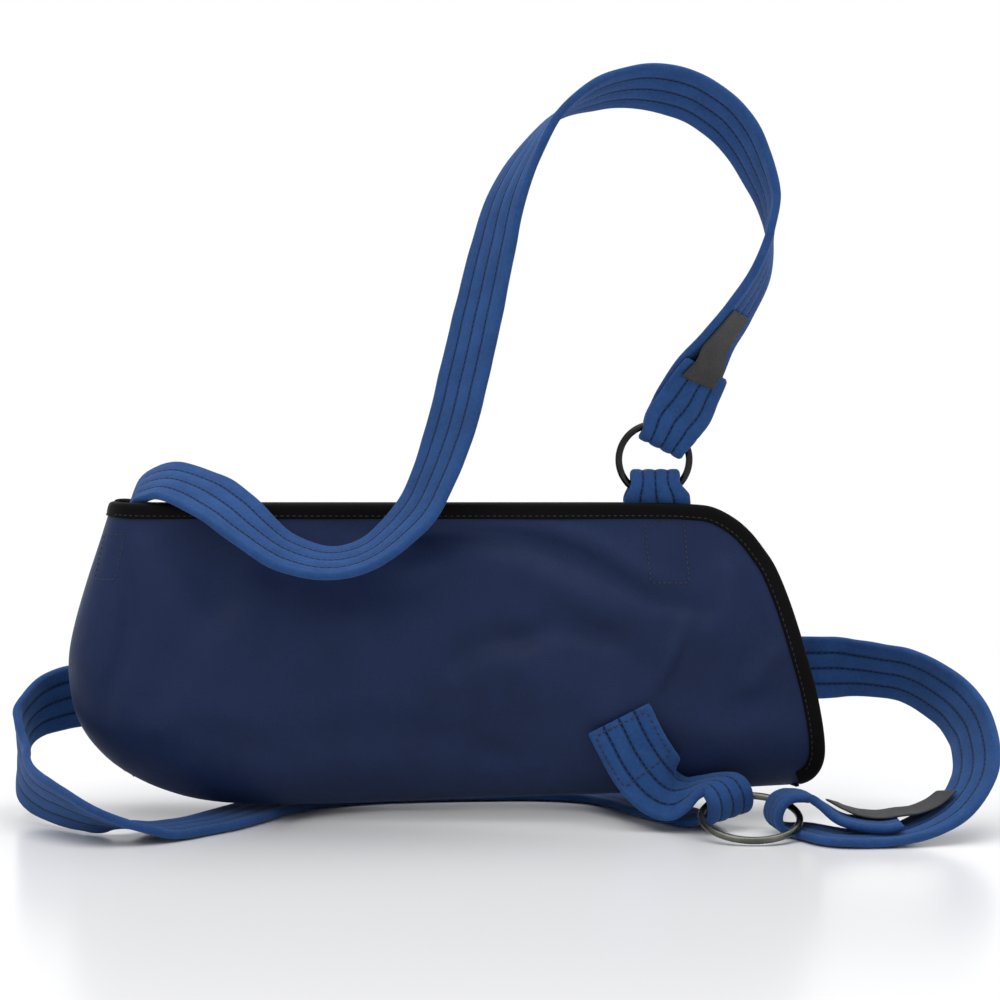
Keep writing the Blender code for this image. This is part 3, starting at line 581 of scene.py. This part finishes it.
# The waist strap crosses the back of the pouch. Its left limb comes round the elbow end to the
# floor and under the pouch; its right limb comes round the hand end. Both pass up through the
# waist ring and fold back.
WAIST_BACK = [
    (-196, 44.6, 66, 0, 0, 1), (-150, 46.3, 68, 0, 0, 1), (-60, 46.4, 71, 0, 0, 1),
    (30, 46.3, 74, 0, 0, 1), (100, 44.6, 76, 0, 0, 1), (150, 41.3, 78, 0, 0, 1),
    (196, 39.5, 79, 0, 0, 1),
]
WAIST_LEFT = [
    (-214, 43.5, 63, 0, -0.1, 1), (-226, 40, 61, 0, -0.14, 1), (-238, 31, 57, -0.04, -0.4, 0.9),
    (-245, 18, 50, -0.08, -0.79, 0.6), (-245, 4, 42, 0.05, -0.97, 0.15),
    (-242, -12, 31, 0.28, -0.9, 0.3), (-236, -28, 23.5, 0.35, -0.86, 0.36),
    (-224, -46, 18.5, 0.34, -0.86, 0.37), (-206, -67, 15.5, 0.37, -0.86, 0.33),
    (-188, -80, 12, 0.38, -0.88, 0.26), (-170, -80, 7.5, 0.3, -0.94, 0.14),
    (-156, -70, 3.4, 0.36, -0.93, 0.02), (-143, -56, 2.5, 0.55, -0.83, 0),
    (-131, -42, 2.4, 0.75, -0.65, 0), (-120, -24, 2.4, 0.87, -0.48, 0),
    (-108, 0, 2.4, 0.87, -0.48, 0), (-88, 28, 2.4, 0.65, -0.76, 0), (-56, 47, 2.4, 0.3, -0.95, 0),
    (-20, 56, 2.4, 0.1, -1, 0), (20, 60, 2.4, 0, -1, 0), (60, 60, 2.4, -0.12, -1, 0),
    (92, 48, 2.4, -0.5, -0.85, 0), (111, 24, 2.4, -0.87, -0.5, 0),
    (119, 6, 2.4, -0.88, -0.47, 0, 36), (127, -10, 2.4, -0.87, -0.49, 0, 34),
    (136, -24, 2.6, -0.84, -0.54, 0, 32), (144, -35.5, 3.4, -0.82, -0.56, -0.05, 31),
    (149.5, -42, 5.4, -0.82, -0.55, -0.12, 31), (153.5, -46.3, 7.6, -0.82, -0.55, -0.166, 31),
    (156.6, -50.4, 7.9, -0.82, -0.55, -0.166, 31), (158.7, -54.3, 10.0, -0.82, -0.55, -0.166, 31),
    (159.3, -56.5, 14.4, -0.82, -0.55, -0.166, 31), (158.6, -57.1, 19.4, -0.82, -0.55, -0.166, 31),
    (156.6, -55.1, 23.6, -0.82, -0.55, -0.166, 31), (153.5, -51.7, 25.9, -0.81, -0.56, -0.17, 31),
]
WAIST_TONGUE_LEFT = [
    (148.5, -48.5, 25.6, -0.62, -0.74, -0.2, 32), (142, -47.4, 23.6, -0.42, -0.84, -0.24, 34),
    (135, -47.2, 21, -0.42, -0.8, -0.38, 36), (127.5, -47.4, 20.6, -0.55, -0.62, -0.55, 37),
    (120.5, -48.4, 24.6, -0.72, -0.4, -0.57), (113.5, -48.8, 32.8, -0.86, -0.15, -0.48),
    (105.5, -48.2, 45.5, -0.93, 0, -0.36), (97, -46.8, 62, -0.93, 0, -0.36),
]
WAIST_RIGHT = [
    (220, 39.5, 79.5, 0, -0.15, 1), (230, 41, 79.4, 0.03, -0.25, 0.96),
    (240, 41, 79, 0.06, -0.4, 0.9), (254, 36, 78, 0.1, -0.52, 0.84),
    (268, 29, 76, 0.2, -0.58, 0.77), (280, 18, 71, 0.26, -0.62, 0.74),
    (290, 3, 64, 0.34, -0.7, 0.63), (296, -14, 56, 0.4, -0.79, 0.47),
    (298, -29, 47, 0.42, -0.84, 0.33), (297, -44, 37, 0.4, -0.9, 0.19),
    (292.5, -57, 28, 0.33, -0.94, 0.06), (285, -67, 20, 0.26, -0.96, -0.03),
    (275, -75, 13, 0.2, -0.97, -0.1), (262, -80, 7, 0.12, -0.99, -0.08),
    (248, -84, 3.2, 0.06, -1, 0), (232, -87, 2.5, 0.05, -1, 0, 37),
    (217.5, -88, 2.6, 0.12, -1, 0, 34), (207.5, -77.5, 2.6, 0.18, -0.98, 0, 29),
    (198.5, -66.5, 2.6, 0.12, -0.99, 0, 27), (191, -64.4, 2.8, 0.1, -0.99, 0, 26),
    (185.2, -64.3, 4.6, 0.16, -0.98, 0, 26), (182.2, -64.7, 9, 0.2, -0.98, 0, 26),
    (182.4, -64.7, 13.6, 0.2, -0.98, 0, 26), (185.2, -64.1, 18.9, 0.2, -0.98, 0, 26),
    (190.2, -63.1, 21.4, 0.2, -0.98, 0, 26), (194.5, -62.3, 21.5, 0.2, -0.98, 0, 26),
]
WAIST_TONGUE_RIGHT = [
    (197.4, -61.8, 21.3, 0.2, -0.98, 0, 26), (202.0, -61.4, 20.0, 0.2, -0.98, 0, 28),
    (210, -64, 15.2, 0.16, -0.98, 0, 31), (219, -70, 10.6, 0.1, -0.99, 0, 34),
    (229, -75, 8.6, 0.05, -0.99, 0, 36), (240, -77, 8.2, 0.05, -0.99, 0, 37),
    (250, -77, 10.0, 0.06, -0.99, 0, 36),
]
WAIST_HOOK_STRIP = [
    (214, -61, 18.3, 0.14, -0.98, 0, 22), (221.5, -65, 15.2, 0.1, -0.98, 0, 23),
    (230, -68, 12.8, 0.05, -0.99, 0, 24), (240, -70, 12.1, 0.05, -0.99, 0, 24),
    (250, -70, 13.5, 0.06, -0.99, 0, 24), (260, -69, 14.6, 0.12, -0.99, 0, 22),
    (270, -65, 18.0, 0.2, -0.97, 0, 20), (279, -59, 23.6, 0.26, -0.96, 0.03, 18),
]

# ---------------------------------------------------------------- the pouch's outline and creases

TURN = (163, 172.5)  # where the rim turns down into the hand end
ELBOW = (-187, 28)  # the lower left corner of the fold

# Outlines as (x, z): the open edge along the rim and down the hand end, then the folded edge
# along the bottom and up the elbow end
OPEN_EDGE = [
    (-190, RIM_Z), (-120, RIM_Z), (-40, RIM_Z), (50, RIM_Z), (118, RIM_Z), (138, RIM_Z - 0.8),
    (151, 178.5), TURN, (172, 165), (180, 155), (187, 144), (195, 124), (203, 98), (210, 72),
    (214, 48), (213.5, 34), (208, 24), (198, 17.5),
]
FOLD_EDGE = [
    (198, 17.5), (150, 15), (88, 12.5), (31, 10.5), (-36, 8.0), (-94, 6.5), (-135, 8.5),
    (-164, 16), ELBOW, (-202, 42), (-211, 57), (-215, 74), (-215.5, 92), (-212, 111),
    (-205, 135), (-197, 159), (-190, RIM_Z),
]

# Soft creases: start (x, z), end (x, z), height out of the face (before CREASE_GAIN), half width
CREASE_GAIN = 1.45
FRONT_CREASES = [
    ((-28, 164), (118, 128), -3.4, 6.5), ((14, 171), (112, 139), 2.2, 7.0),
    ((-20, 146), (88, 121), 2.6, 9.0), ((4, 92), (42, 107), -2.6, 8.5),
    ((42, 107), (90, 106), -2.4, 8.0), ((-60, 118), (-8, 104), 2.0, 15.0),
    ((-168, 152), (-132, 78), 2.4, 15.0), ((-184, 170), (-188, 78), -2.4, 6.0),
    ((-118, 108), (-82, 76), 2.0, 17.0), ((-150, 92), (-100, 150), -1.6, 12.0),
    ((-14, 78), (88, 72), 2.4, 15.0), ((-83, 46), (32, 40), -3.0, 13.0),
    ((122, 95), (128, 92), 2.6, 21.0), ((158, 144), (148, 106), 2.2, 7.5),
    ((171, 130), (167, 78), -2.2, 8.5), ((171, 78), (197, 101), 2.2, 6.5),
    ((160, 60), (204, 72), -1.6, 9.0), ((60, 118), (112, 92), -1.6, 9.0),
    ((90, 60), (150, 52), 1.6, 12.0), ((-160, 58), (-100, 62), 1.6, 13.0),
]
BACK_CREASES = [
    ((-120, 150), (20, 120), -2.6, 9.0), ((-60, 160), (70, 128), 2.2, 9.0),
    ((30, 116), (140, 138), -2.2, 9.0), ((-170, 140), (-150, 110), 2.0, 13.0),
    ((-120, 34), (30, 28), -2.4, 12.0), ((60, 34), (150, 42), 2.0, 13.0),
    ((150, 150), (184, 112), -1.6, 8.0),
]


def outline(points):
    return evened(catmull([(x, 0.0, z) for x, z in points], 14), 1.0)[:, [0, 2]]


OPEN_LINE, FOLD_LINE = outline(OPEN_EDGE), outline(FOLD_EDGE)


def distance_to(line, points):
    """Distance of each point from a polyline, in chunks that bound the memory used."""
    start, leg = line[:-1], np.diff(line, axis=0)
    size, out = (leg**2).sum(1), np.empty(len(points))
    for k in range(0, len(points), 3000):
        chunk = points[k : k + 3000, None, :]
        share = np.clip(((chunk - start) * leg).sum(2) / size, 0.0, 1.0)
        gap = chunk - start - leg * share[..., None]
        out[k : k + 3000] = np.sqrt((gap**2).sum(2).min(1))
    return out


def half_depth(points):
    """Deeper below the mouth, shallower to the hand end, rounded off to nothing at the fold."""
    x, z = points[:, 0], points[:, 1]
    full = DEPTH_MOUTH + (DEPTH_BODY - DEPTH_MOUTH) * smooth((RIM_Z - z) / 95.0)
    full = full * (1.0 - 0.2 * smooth((x - 60.0) / 150.0))
    growth = smooth((172.0 - z) / 90.0)
    radius = FOLD_RADIUS_MOUTH + (FOLD_RADIUS_BODY - FOLD_RADIUS_MOUTH) * growth
    near = np.clip(np.maximum(distance_to(FOLD_LINE, points) - 0.02, 0.0) / radius, 0.0, 1.0)
    return full * (1.0 - (1.0 - near) ** ROUNDNESS) ** (1.0 / ROUNDNESS)


def crease_height(points, creases, seed):
    """Height of the creases and small ripples, fading out at the pouch's edges."""
    total = np.zeros(len(points))
    for start, end, high, wide in creases:
        start = np.array(start, float)
        leg = end - start
        size = np.linalg.norm(leg)
        share = ((points - start) @ leg) / size**2
        bend = 0.10 * size * np.sin(np.clip(share, 0, 1) * math.pi)
        off = ((points - start) @ np.array((-leg[1], leg[0]))) / size - bend
        fade = smooth((share + 0.35) / 0.45) * smooth((1.35 - share) / 0.45)
        total += CREASE_GAIN * high * np.exp(-((off / wide) ** 2)) * fade
    flat = np.column_stack([points[:, 0], np.zeros(len(points)), points[:, 1]])
    total += 0.55 * ripple(flat * (1.0, 1.0, 1.4), 88.0, seed) + 0.16 * ripple(flat, 30.0, seed + 1)
    from_open, from_fold = distance_to(OPEN_LINE, points), distance_to(FOLD_LINE, points)
    return total * (smooth(from_open / 22.0) * smooth((from_fold - 2.0) / 26.0))


def skin(points, side):
    """Points on the pouch's outer face and the way out of it, for places (x, z)."""
    h = 0.6  # step of the slope
    deep = half_depth(points)
    dx, dz = (
        (half_depth(points + step) - half_depth(points - step)) / (2 * h)
        for step in ((h, 0.0), (0.0, h))
    )
    out = unit_rows(np.stack([-dx, -np.ones(len(points)), -dz], axis=1))
    z = points[:, 1]
    if side == BACK:
        off_fold = smooth(distance_to(FOLD_LINE, points) / 20.0)
        z = z - BACK_RIM_DROP * smooth((z - 60.0) / 120.0) * off_fold
    creases, seed = (FRONT_CREASES, 11) if side == FRONT else (BACK_CREASES, 12)
    spots = np.stack([points[:, 0], -deep, z], axis=1)
    spots = spots + out * crease_height(points, creases, seed)[:, None]
    if side == BACK:
        spots, out = spots * (1, -1, 1), out * (1, -1, 1)
    return spots, out


def edge_inset(index, amount):
    """A place inside the open edge. The way in swings to a set direction at each end."""
    last = len(OPEN_LINE) - 1
    x, z = unit(OPEN_LINE[min(index + 2, last)] - OPEN_LINE[max(index - 2, 0)])
    inward = np.array((z, -x))
    share = float(smooth(index / 22.0))
    inward = inward * share + np.array((-0.34, -0.94)) * (1.0 - share)
    share = float(smooth((last - index) / 10.0))
    inward = inward * share + np.array((-0.35, 0.94)) * (1.0 - share)
    return OPEN_LINE[index] + unit(inward) * amount


# ---------------------------------------------------------------- pouch pieces

def along(points):
    """A function from a share of the length, 0 to 1, to a place on the line."""
    run = lengths(points)
    run = run / run[-1]
    return lambda t: sample(t, run, points)


def nearest(line, x, z):
    return int(np.argmin(np.abs(line[:, 0] - x) + np.abs(line[:, 1] - z)))


def panel_grid():
    """A grid of (x, z) filling the outline; its first row and column lie on the fold."""
    inner = np.array([edge_inset(k, OPEN_INSET) for k in range(len(OPEN_LINE))])
    turn, low = nearest(OPEN_LINE, *TURN), nearest(FOLD_LINE, *ELBOW)
    left = along(np.vstack([FOLD_LINE[low:-2], inner[:1]]))
    bottom = along(np.vstack([inner[-1:], FOLD_LINE[2 : low + 1]])[::-1])
    top, right = along(inner[: turn + 1]), along(inner[turn:][::-1])
    # Closer set towards the elbow and the bottom
    us, vs = np.linspace(0, 1, 190) ** 1.6, np.linspace(0, 1, 96) ** 1.7
    u, v = np.meshgrid(us, vs)
    u, v = u[..., None], v[..., None]
    corners = (
        left(0.0) * (1 - u) * (1 - v) + right(0.0) * u * (1 - v)
        + left(1.0) * (1 - u) * v + right(1.0) * u * v
    )
    sides = left(vs)[:, None] * (1 - u) + right(vs)[:, None] * u
    return sides + bottom(us)[None] * (1 - v) + top(us)[None] * v - corners


def pouch_cloth():
    """Front and back panels in one sheet, joined along the fold and thickened inwards."""
    grid = panel_grid()
    high, wide = grid.shape[:2]
    verts = []
    for side in (FRONT, BACK):
        spots = skin(grid.reshape(-1, 2), side)[0].reshape(high, wide, 3)
        for fold in (np.s_[0, :], np.s_[:, 0]):
            spots[fold + (1,)] = 0.0
            spots[fold + (2,)] = grid[fold + (1,)]
        verts.append(spots.reshape(-1, 3))
    index = np.arange(high * wide).reshape(high, wide)
    back = index + high * wide
    back[0, :] = index[0, :]
    back[:, 0] = index[:, 0]
    faces = []
    for j in range(high - 1):
        for i in range(wide - 1):
            faces.append((index[j, i], index[j, i + 1], index[j + 1, i + 1], index[j + 1, i]))
            faces.append((back[j + 1, i], back[j + 1, i + 1], back[j, i + 1], back[j, i]))
    # Drop the back's own points on the fold, which no face uses
    points = np.vstack(verts)
    used = np.unique(np.array(faces).ravel())
    renumber = np.full(len(points), -1)
    renumber[used] = np.arange(len(used))
    obj = piece("pouch_cloth", points[used], renumber[np.array(faces)], POUCH)
    thick = obj.modifiers.new("cloth thickness", "SOLIDIFY")
    thick.thickness, thick.offset = CLOTH * MM, -1.0
    graph = bpy.context.evaluated_depsgraph_get()
    mesh = bpy.data.meshes.new_from_object(obj.evaluated_get(graph), depsgraph=graph)
    obj.modifiers.clear()
    obj.data = mesh
    mesh.shade_smooth()
    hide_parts("front_panel", "back_panel")
    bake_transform(obj)


def binding(name, side, body):
    """The tape folded over a panel's open edge, with its sewn row."""
    # Section: inset from the edge and lift from the cloth's middle, outer half then its mirror
    outer = [
        (TAPE_WIDTH, 1.5), (TAPE_WIDTH - 0.1, 2.1), (TAPE_WIDTH - 0.7, 2.45), (TAPE_SEAM, 2.3),
        (6.0, 2.62), (3.6, TAPE_HALF), (1.9, 2.6), (0.8, 2.05), (0.18, 1.1),
    ]
    mirrored = [(inset, -lift) for inset, lift in outer[::-1]]
    section = np.array(outer + [(0.0, 0.0)] + mirrored)
    places = range(1, len(OPEN_LINE) - 4, 2)
    flat = np.array([edge_inset(k, inset) for k in places for inset in section[:, 0]])
    lifts = np.tile(section[:, 1], len(places)) - CLOTH / 2
    spots, out = skin(flat, side)
    verts = spots + out * lifts[:, None]
    verts[:, 1] = np.maximum(verts[:, 1] * -side, 0.15) * -side  # stays on its own side
    run = np.repeat(np.arange(len(places)) * 2.0, len(section)) / UV_LENGTH
    share = np.tile(np.linspace(-0.5, 0.5, len(section)), len(places))
    verts = verts + 0.12 * ripple(verts, 9.0, 5)[:, None] * out
    faces = tube_faces(len(places), len(section))
    if side == BACK:
        faces = [face[::-1] for face in faces]
    tape = piece(name + "_binding_tape", verts, faces, TAPE, np.column_stack([run, share]))
    register(tape, [name + "_binding"], body)

    row = np.array([edge_inset(k, TAPE_SEAM) for k in range(6, len(OPEN_LINE) - 14, 2)])
    spots, out = skin(row, side)
    rows = [(spots + out * (2.35 - CLOTH / 2), out, TAPE_PITCH)]
    sewn = stitches(name + "_binding_tape_stitches", rows, TAPE_THREAD, length=2.4, radius=0.26)
    register(sewn, ride=body)


def sewn_box(corners, side, lift=BOX_LIFT):
    """Rows for stitches() round corners (x, z) of the pouch's face."""
    corners = np.array(corners, float)
    rows = []
    for a, b in zip(corners, np.roll(corners, -1, axis=0)):
        spots, out = skin(a + (b - a) * np.linspace(0.02, 0.98, 24)[:, None], side)
        rows.append((spots + out * lift, out, BOX_PITCH))
    return rows


def box_threads():
    """Sewn boxes: ring tab, shoulder strap's start, and the waist strap at the back's two ends."""
    box = sewn_box([(112.5, 170), (134.5, 170), (137.5, 136), (115.5, 136)], FRONT)
    tab = stitches("ring_tab_box_thread", box, DARK_THREAD, length=2.4, radius=0.5)
    register(tab, ["ring_tab_box_stitch"], "pouch")
    box = sewn_box([(-193, 163), (-181, 163), (-185, 138), (-198, 138)], FRONT)
    elbow = stitches("elbow_box_thread", box, DARK_THREAD, length=2.2, radius=0.34)
    register(elbow, ["elbow_box_stitch"], "pouch")

    half_x, half_z = 16, 13
    rows = []
    for x, z in ((-178, 67.0), (176, 78.5)):
        left, right, low, high = x - half_x, x + half_x, z - half_z, z + half_z
        corners = [(left, high), (right, high), (right, low), (left, low)]
        rows += sewn_box(corners, BACK, lift=5.2)  # on the strap's outer face
    back = stitches("back_box_thread", rows, DARK_THREAD, length=2.2, radius=0.34)
    register(back, ride="back")


# ---------------------------------------------------------------- ring tab and shoulder strap

def ring_tab():
    """Full width on the pouch, narrower where it passes through the ring."""
    rows = [
        (x, y, z, -1.0, 0.0, 0.0, 37.0 - 9.0 * float(smooth((z - 183.0) / 7.0)))
        for x, y, z in RING_TAB
    ]
    register(strap("ring_tab_webbing", frames(rows, 1.2), 21), ["ring_tab"], "pouch")


def layered(below, low, high, offset):
    """A layer in front of the shoulder strap's lower right end, upwards between two heights."""
    x, y, z = below["centre"].T
    keep = np.where((z >= low) & (z <= high) & (y > -11.0) & (x > 120.0))[0][::-1]
    part = cut(below, keep)
    shift = offset(part["centre"][:, 2])
    part["centre"] = part["centre"] - part["normal"] * shift[:, None]
    part["normal"] = -part["normal"]
    part["run"] = lengths(part["centre"])
    return part


def shoulder_strap():
    """The strap, its fold round the ring and the tongue are one path, cut at the tongue's root."""
    below = frames(SHOULDER, 1.0)
    layer = layered(
        below, 233.0, 259.0, lambda z: LAYER_GAP + 5.0 * (1.0 - smooth((z - 226.0) / 20.0))
    )
    last = len(layer["run"]) - 1
    fold_rows = [
        (*layer["centre"][k], *layer["across"][k], layer["width"][k])
        for k in sorted({*range(0, last + 1, 6), last})
    ]
    whole = frames(ANCHOR + SHOULDER + fold_rows, 1.3)
    root = np.array(SHOULDER[-1][:3])
    fold = int(np.argmin(np.linalg.norm(whole["centre"] - root, axis=1)))
    main = cut(whole, np.arange(0, fold + 1))
    obj = strap("shoulder_strap_webbing", main, 22, ends=(STRAP_END, 0.0))
    register(obj, ["shoulder_strap", "shoulder_strap_anchor"])
    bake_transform(obj)
    free = cut(whole, np.arange(fold, len(whole["run"])))
    tongue = strap("shoulder_tongue_webbing", free, 22, ends=(0.0, STRAP_END))
    register(tongue, ["shoulder_tongue"], "shoulder_tongue")

    # The hook tab lies on the tongue and steps down onto the strap above it
    on_tongue, on_strap = LAYER_GAP + STRAP_HALF + 1.4, STRAP_HALF + 1.2
    tab = layered(
        below, 249.0, 291.0,
        lambda z: on_tongue - (on_tongue - on_strap) * smooth((z - 258.0) / 12.0),
    )
    tab["width"] = np.full(len(tab["run"]), 26.0)
    tab["centre"] = tab["centre"] + tab["across"] * 3.5
    patch = hook_tape("shoulder_hook_patch", tab, 24)
    register(patch, ["shoulder_hook_tab"], "shoulder_tongue")


def shoulder_ring():
    ring = torus(
        "shoulder_ring_wire", centre=(118.5, -8.0, 204.5), radius=20.0, normal=(0, 1, 0),
        wire=4.0, material=BLACK_STEEL,
    )
    register(ring, ["shoulder_ring"], "shoulder_ring")


# ---------------------------------------------------------------- waist strap

def waist_strap():
    """One belt from tongue to tongue, cut into three. Gives back the left tongue's path."""
    left = (WAIST_LEFT + WAIST_TONGUE_LEFT)[::-1]
    belt = frames(left + WAIST_BACK + WAIST_RIGHT + WAIST_TONGUE_RIGHT, 1.5)
    centre = belt["centre"]
    count = len(centre)
    left_end = int(np.where(centre[:, 0] > 124.0)[0][0])
    # The right cut is the nearest place to its tongue's root, on the belt's second half
    away = np.linalg.norm(centre - np.array(WAIST_TONGUE_RIGHT[0][:3]), axis=1)
    right_end = int(np.argmin(np.where(np.arange(count) > count // 2, away, 1e9)))
    main = cut(belt, np.arange(left_end - 1, right_end + 1))
    waist = strap("waist_strap_webbing", main, 31, ends=(0.0, 0.0))
    register(waist, ["waist_strap_left", "waist_strap_back", "waist_strap_right"])
    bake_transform(waist)

    left_path = cut(belt, np.arange(0, left_end)[::-1])
    left_path["normal"] = -left_path["normal"]
    left_path["run"] = left_path["run"][0] - left_path["run"]
    right_path = cut(belt, np.arange(right_end, count))
    for body, path in (("waist_tongue_left", left_path), ("waist_tongue_right", right_path)):
        tongue = strap(body + "_webbing", path, 31, ends=(0.0, STRAP_END))
        register(tongue, [body], body)
    strip = hook_tape("waist_hook_tape", frames(WAIST_HOOK_STRIP, 1.2), 34)
    register(strip, ["waist_hook_strip"], "waist_tongue_right")
    return left_path


def strap_row(path, start, end, pitch):
    """A row for stitches() on a strap's face. Its ends are (distance from tip, width share)."""
    start = np.array(start)
    back, share = (start + (end - start) * np.linspace(0.02, 0.98, 30)[:, None]).T
    run = path["run"]
    at = run[-1] - back
    centre, across, out = (sample(at, run, path[key]) for key in ("centre", "across", "normal"))
    width = np.interp(at, run, path["width"])
    lift = thickness_at(share, width, STRAP_HALF, True) + BOX_LIFT
    return centre + across * share[:, None] * width[:, None] + out * lift[:, None], out, pitch


def tongue_thread(path):
    """The sewn box at the left tongue's tip."""
    near, far, side = 3.2, 33.0, 0.42
    lines = (
        ((near, side), (near, -side)), ((near, side), (far, side)),
        ((near, -side), (far, -side)), ((far, side), (far, -side)),
    )
    rows = [strap_row(path, start, end, pitch=3.6) for start, end in lines]
    tip = stitches("waist_tongue_left_thread", rows, DARK_THREAD, length=2.7, radius=0.55)
    register(tip, ride="waist_tongue_left")


def waist_ring():
    tilt = math.radians(16.8)
    ring = torus(
        "waist_ring_wire", centre=(169.0, -70.0, 10.3), radius=27.0,
        normal=(0, -math.sin(tilt), math.cos(tilt)), wire=4.0, material=GUNMETAL,
    )
    register(ring, ["waist_ring"], "waist_ring")


# ---------------------------------------------------------------- stage, in metres

def floor():
    """A pale glossy floor that turns to plain white away from the sling."""
    reach, z = 9.0, -0.0005
    corners = [(-reach, -reach, z), (reach, -reach, z), (reach, reach, z), (-reach, reach, z)]
    mesh = bpy.data.meshes.new("floor")
    mesh.from_pydata(corners, [], [(0, 1, 2, 3)])
    obj = in_scene("floor", mesh)
    surface = Surface("floor")
    nodes = surface.tree.nodes
    surface.shade({
        "Base Color": (0.86, 0.86, 0.87), "Roughness": 0.22, "Specular IOR Level": 0.35,
    })
    far = surface.add("ShaderNodeVectorMath", {0: surface.where}, operation="LENGTH")
    blend = surface.add("ShaderNodeMixShader", {
        0: surface.ramp(far.outputs["Value"], low=0.30, high=0.85),
        1: nodes["Principled BSDF"].outputs[0],
        2: surface.add("ShaderNodeEmission").outputs[0],
    })
    surface.feed(nodes["Material Output"].inputs["Surface"], blend.outputs[0])
    mesh.materials.append(surface.material)


def studio_world():
    """The camera and reflections see plain white; the light shed on the sling is softer."""
    world = bpy.data.worlds.new("studio")
    bpy.context.scene.world = world
    world.use_nodes = True
    nodes = Nodes(world.node_tree)
    background = world.node_tree.nodes["Background"].inputs
    nodes.feed(background["Color"], (1.0, 1.0, 1.0))
    rays = nodes.add("ShaderNodeLightPath").outputs
    seen = nodes.maths("MAXIMUM", rays["Is Camera Ray"], rays["Is Glossy Ray"])
    nodes.feed(background["Strength"], nodes.ramp(seen, low=0.0, high=1.0, start=0.45, end=1.0))


def area(name, location, aim, size, power):
    light = bpy.data.lights.new(name, "AREA")
    light.shape, light.size, light.energy = "SQUARE", size, power
    obj = in_scene(name, light)
    obj.location = location
    way = Vector(np.array(aim, float) - np.array(location, float))
    obj.rotation_euler = way.to_track_quat("-Z", "Y").to_euler()


def front_camera():
    """In front of the sling, tipped down a little."""
    data = bpy.data.cameras.new("camera")
    data.lens, data.sensor_width = 101.0, 36.0
    camera = in_scene("camera", data)
    camera.location = spot(31.0, -1600.0, 290.0)
    camera.rotation_euler = (math.radians(90.0 - 3.9), 0.0, 0.0)
    bpy.context.scene.camera = camera


# ---------------------------------------------------------------- build

pouch_cloth()
binding("front", FRONT, "pouch")
binding("back", BACK, "back")
box_threads()
ring_tab()
shoulder_strap()
shoulder_ring()
tongue_thread(waist_strap())
waist_ring()

floor()
studio_world()
area("key", location=(-0.9, -1.4, 1.9), aim=(0, 0, 0.15), size=1.2, power=9.0)
area("fill", location=(1.3, -1.0, 1.1), aim=(0, 0, 0.15), size=1.0, power=2.0)
area("top", location=(0.1, 0.2, 2.5), aim=(0, 0, 0.1), size=3.0, power=62.0)
front_camera()
bpy.context.scene.view_settings.view_transform = "Standard"
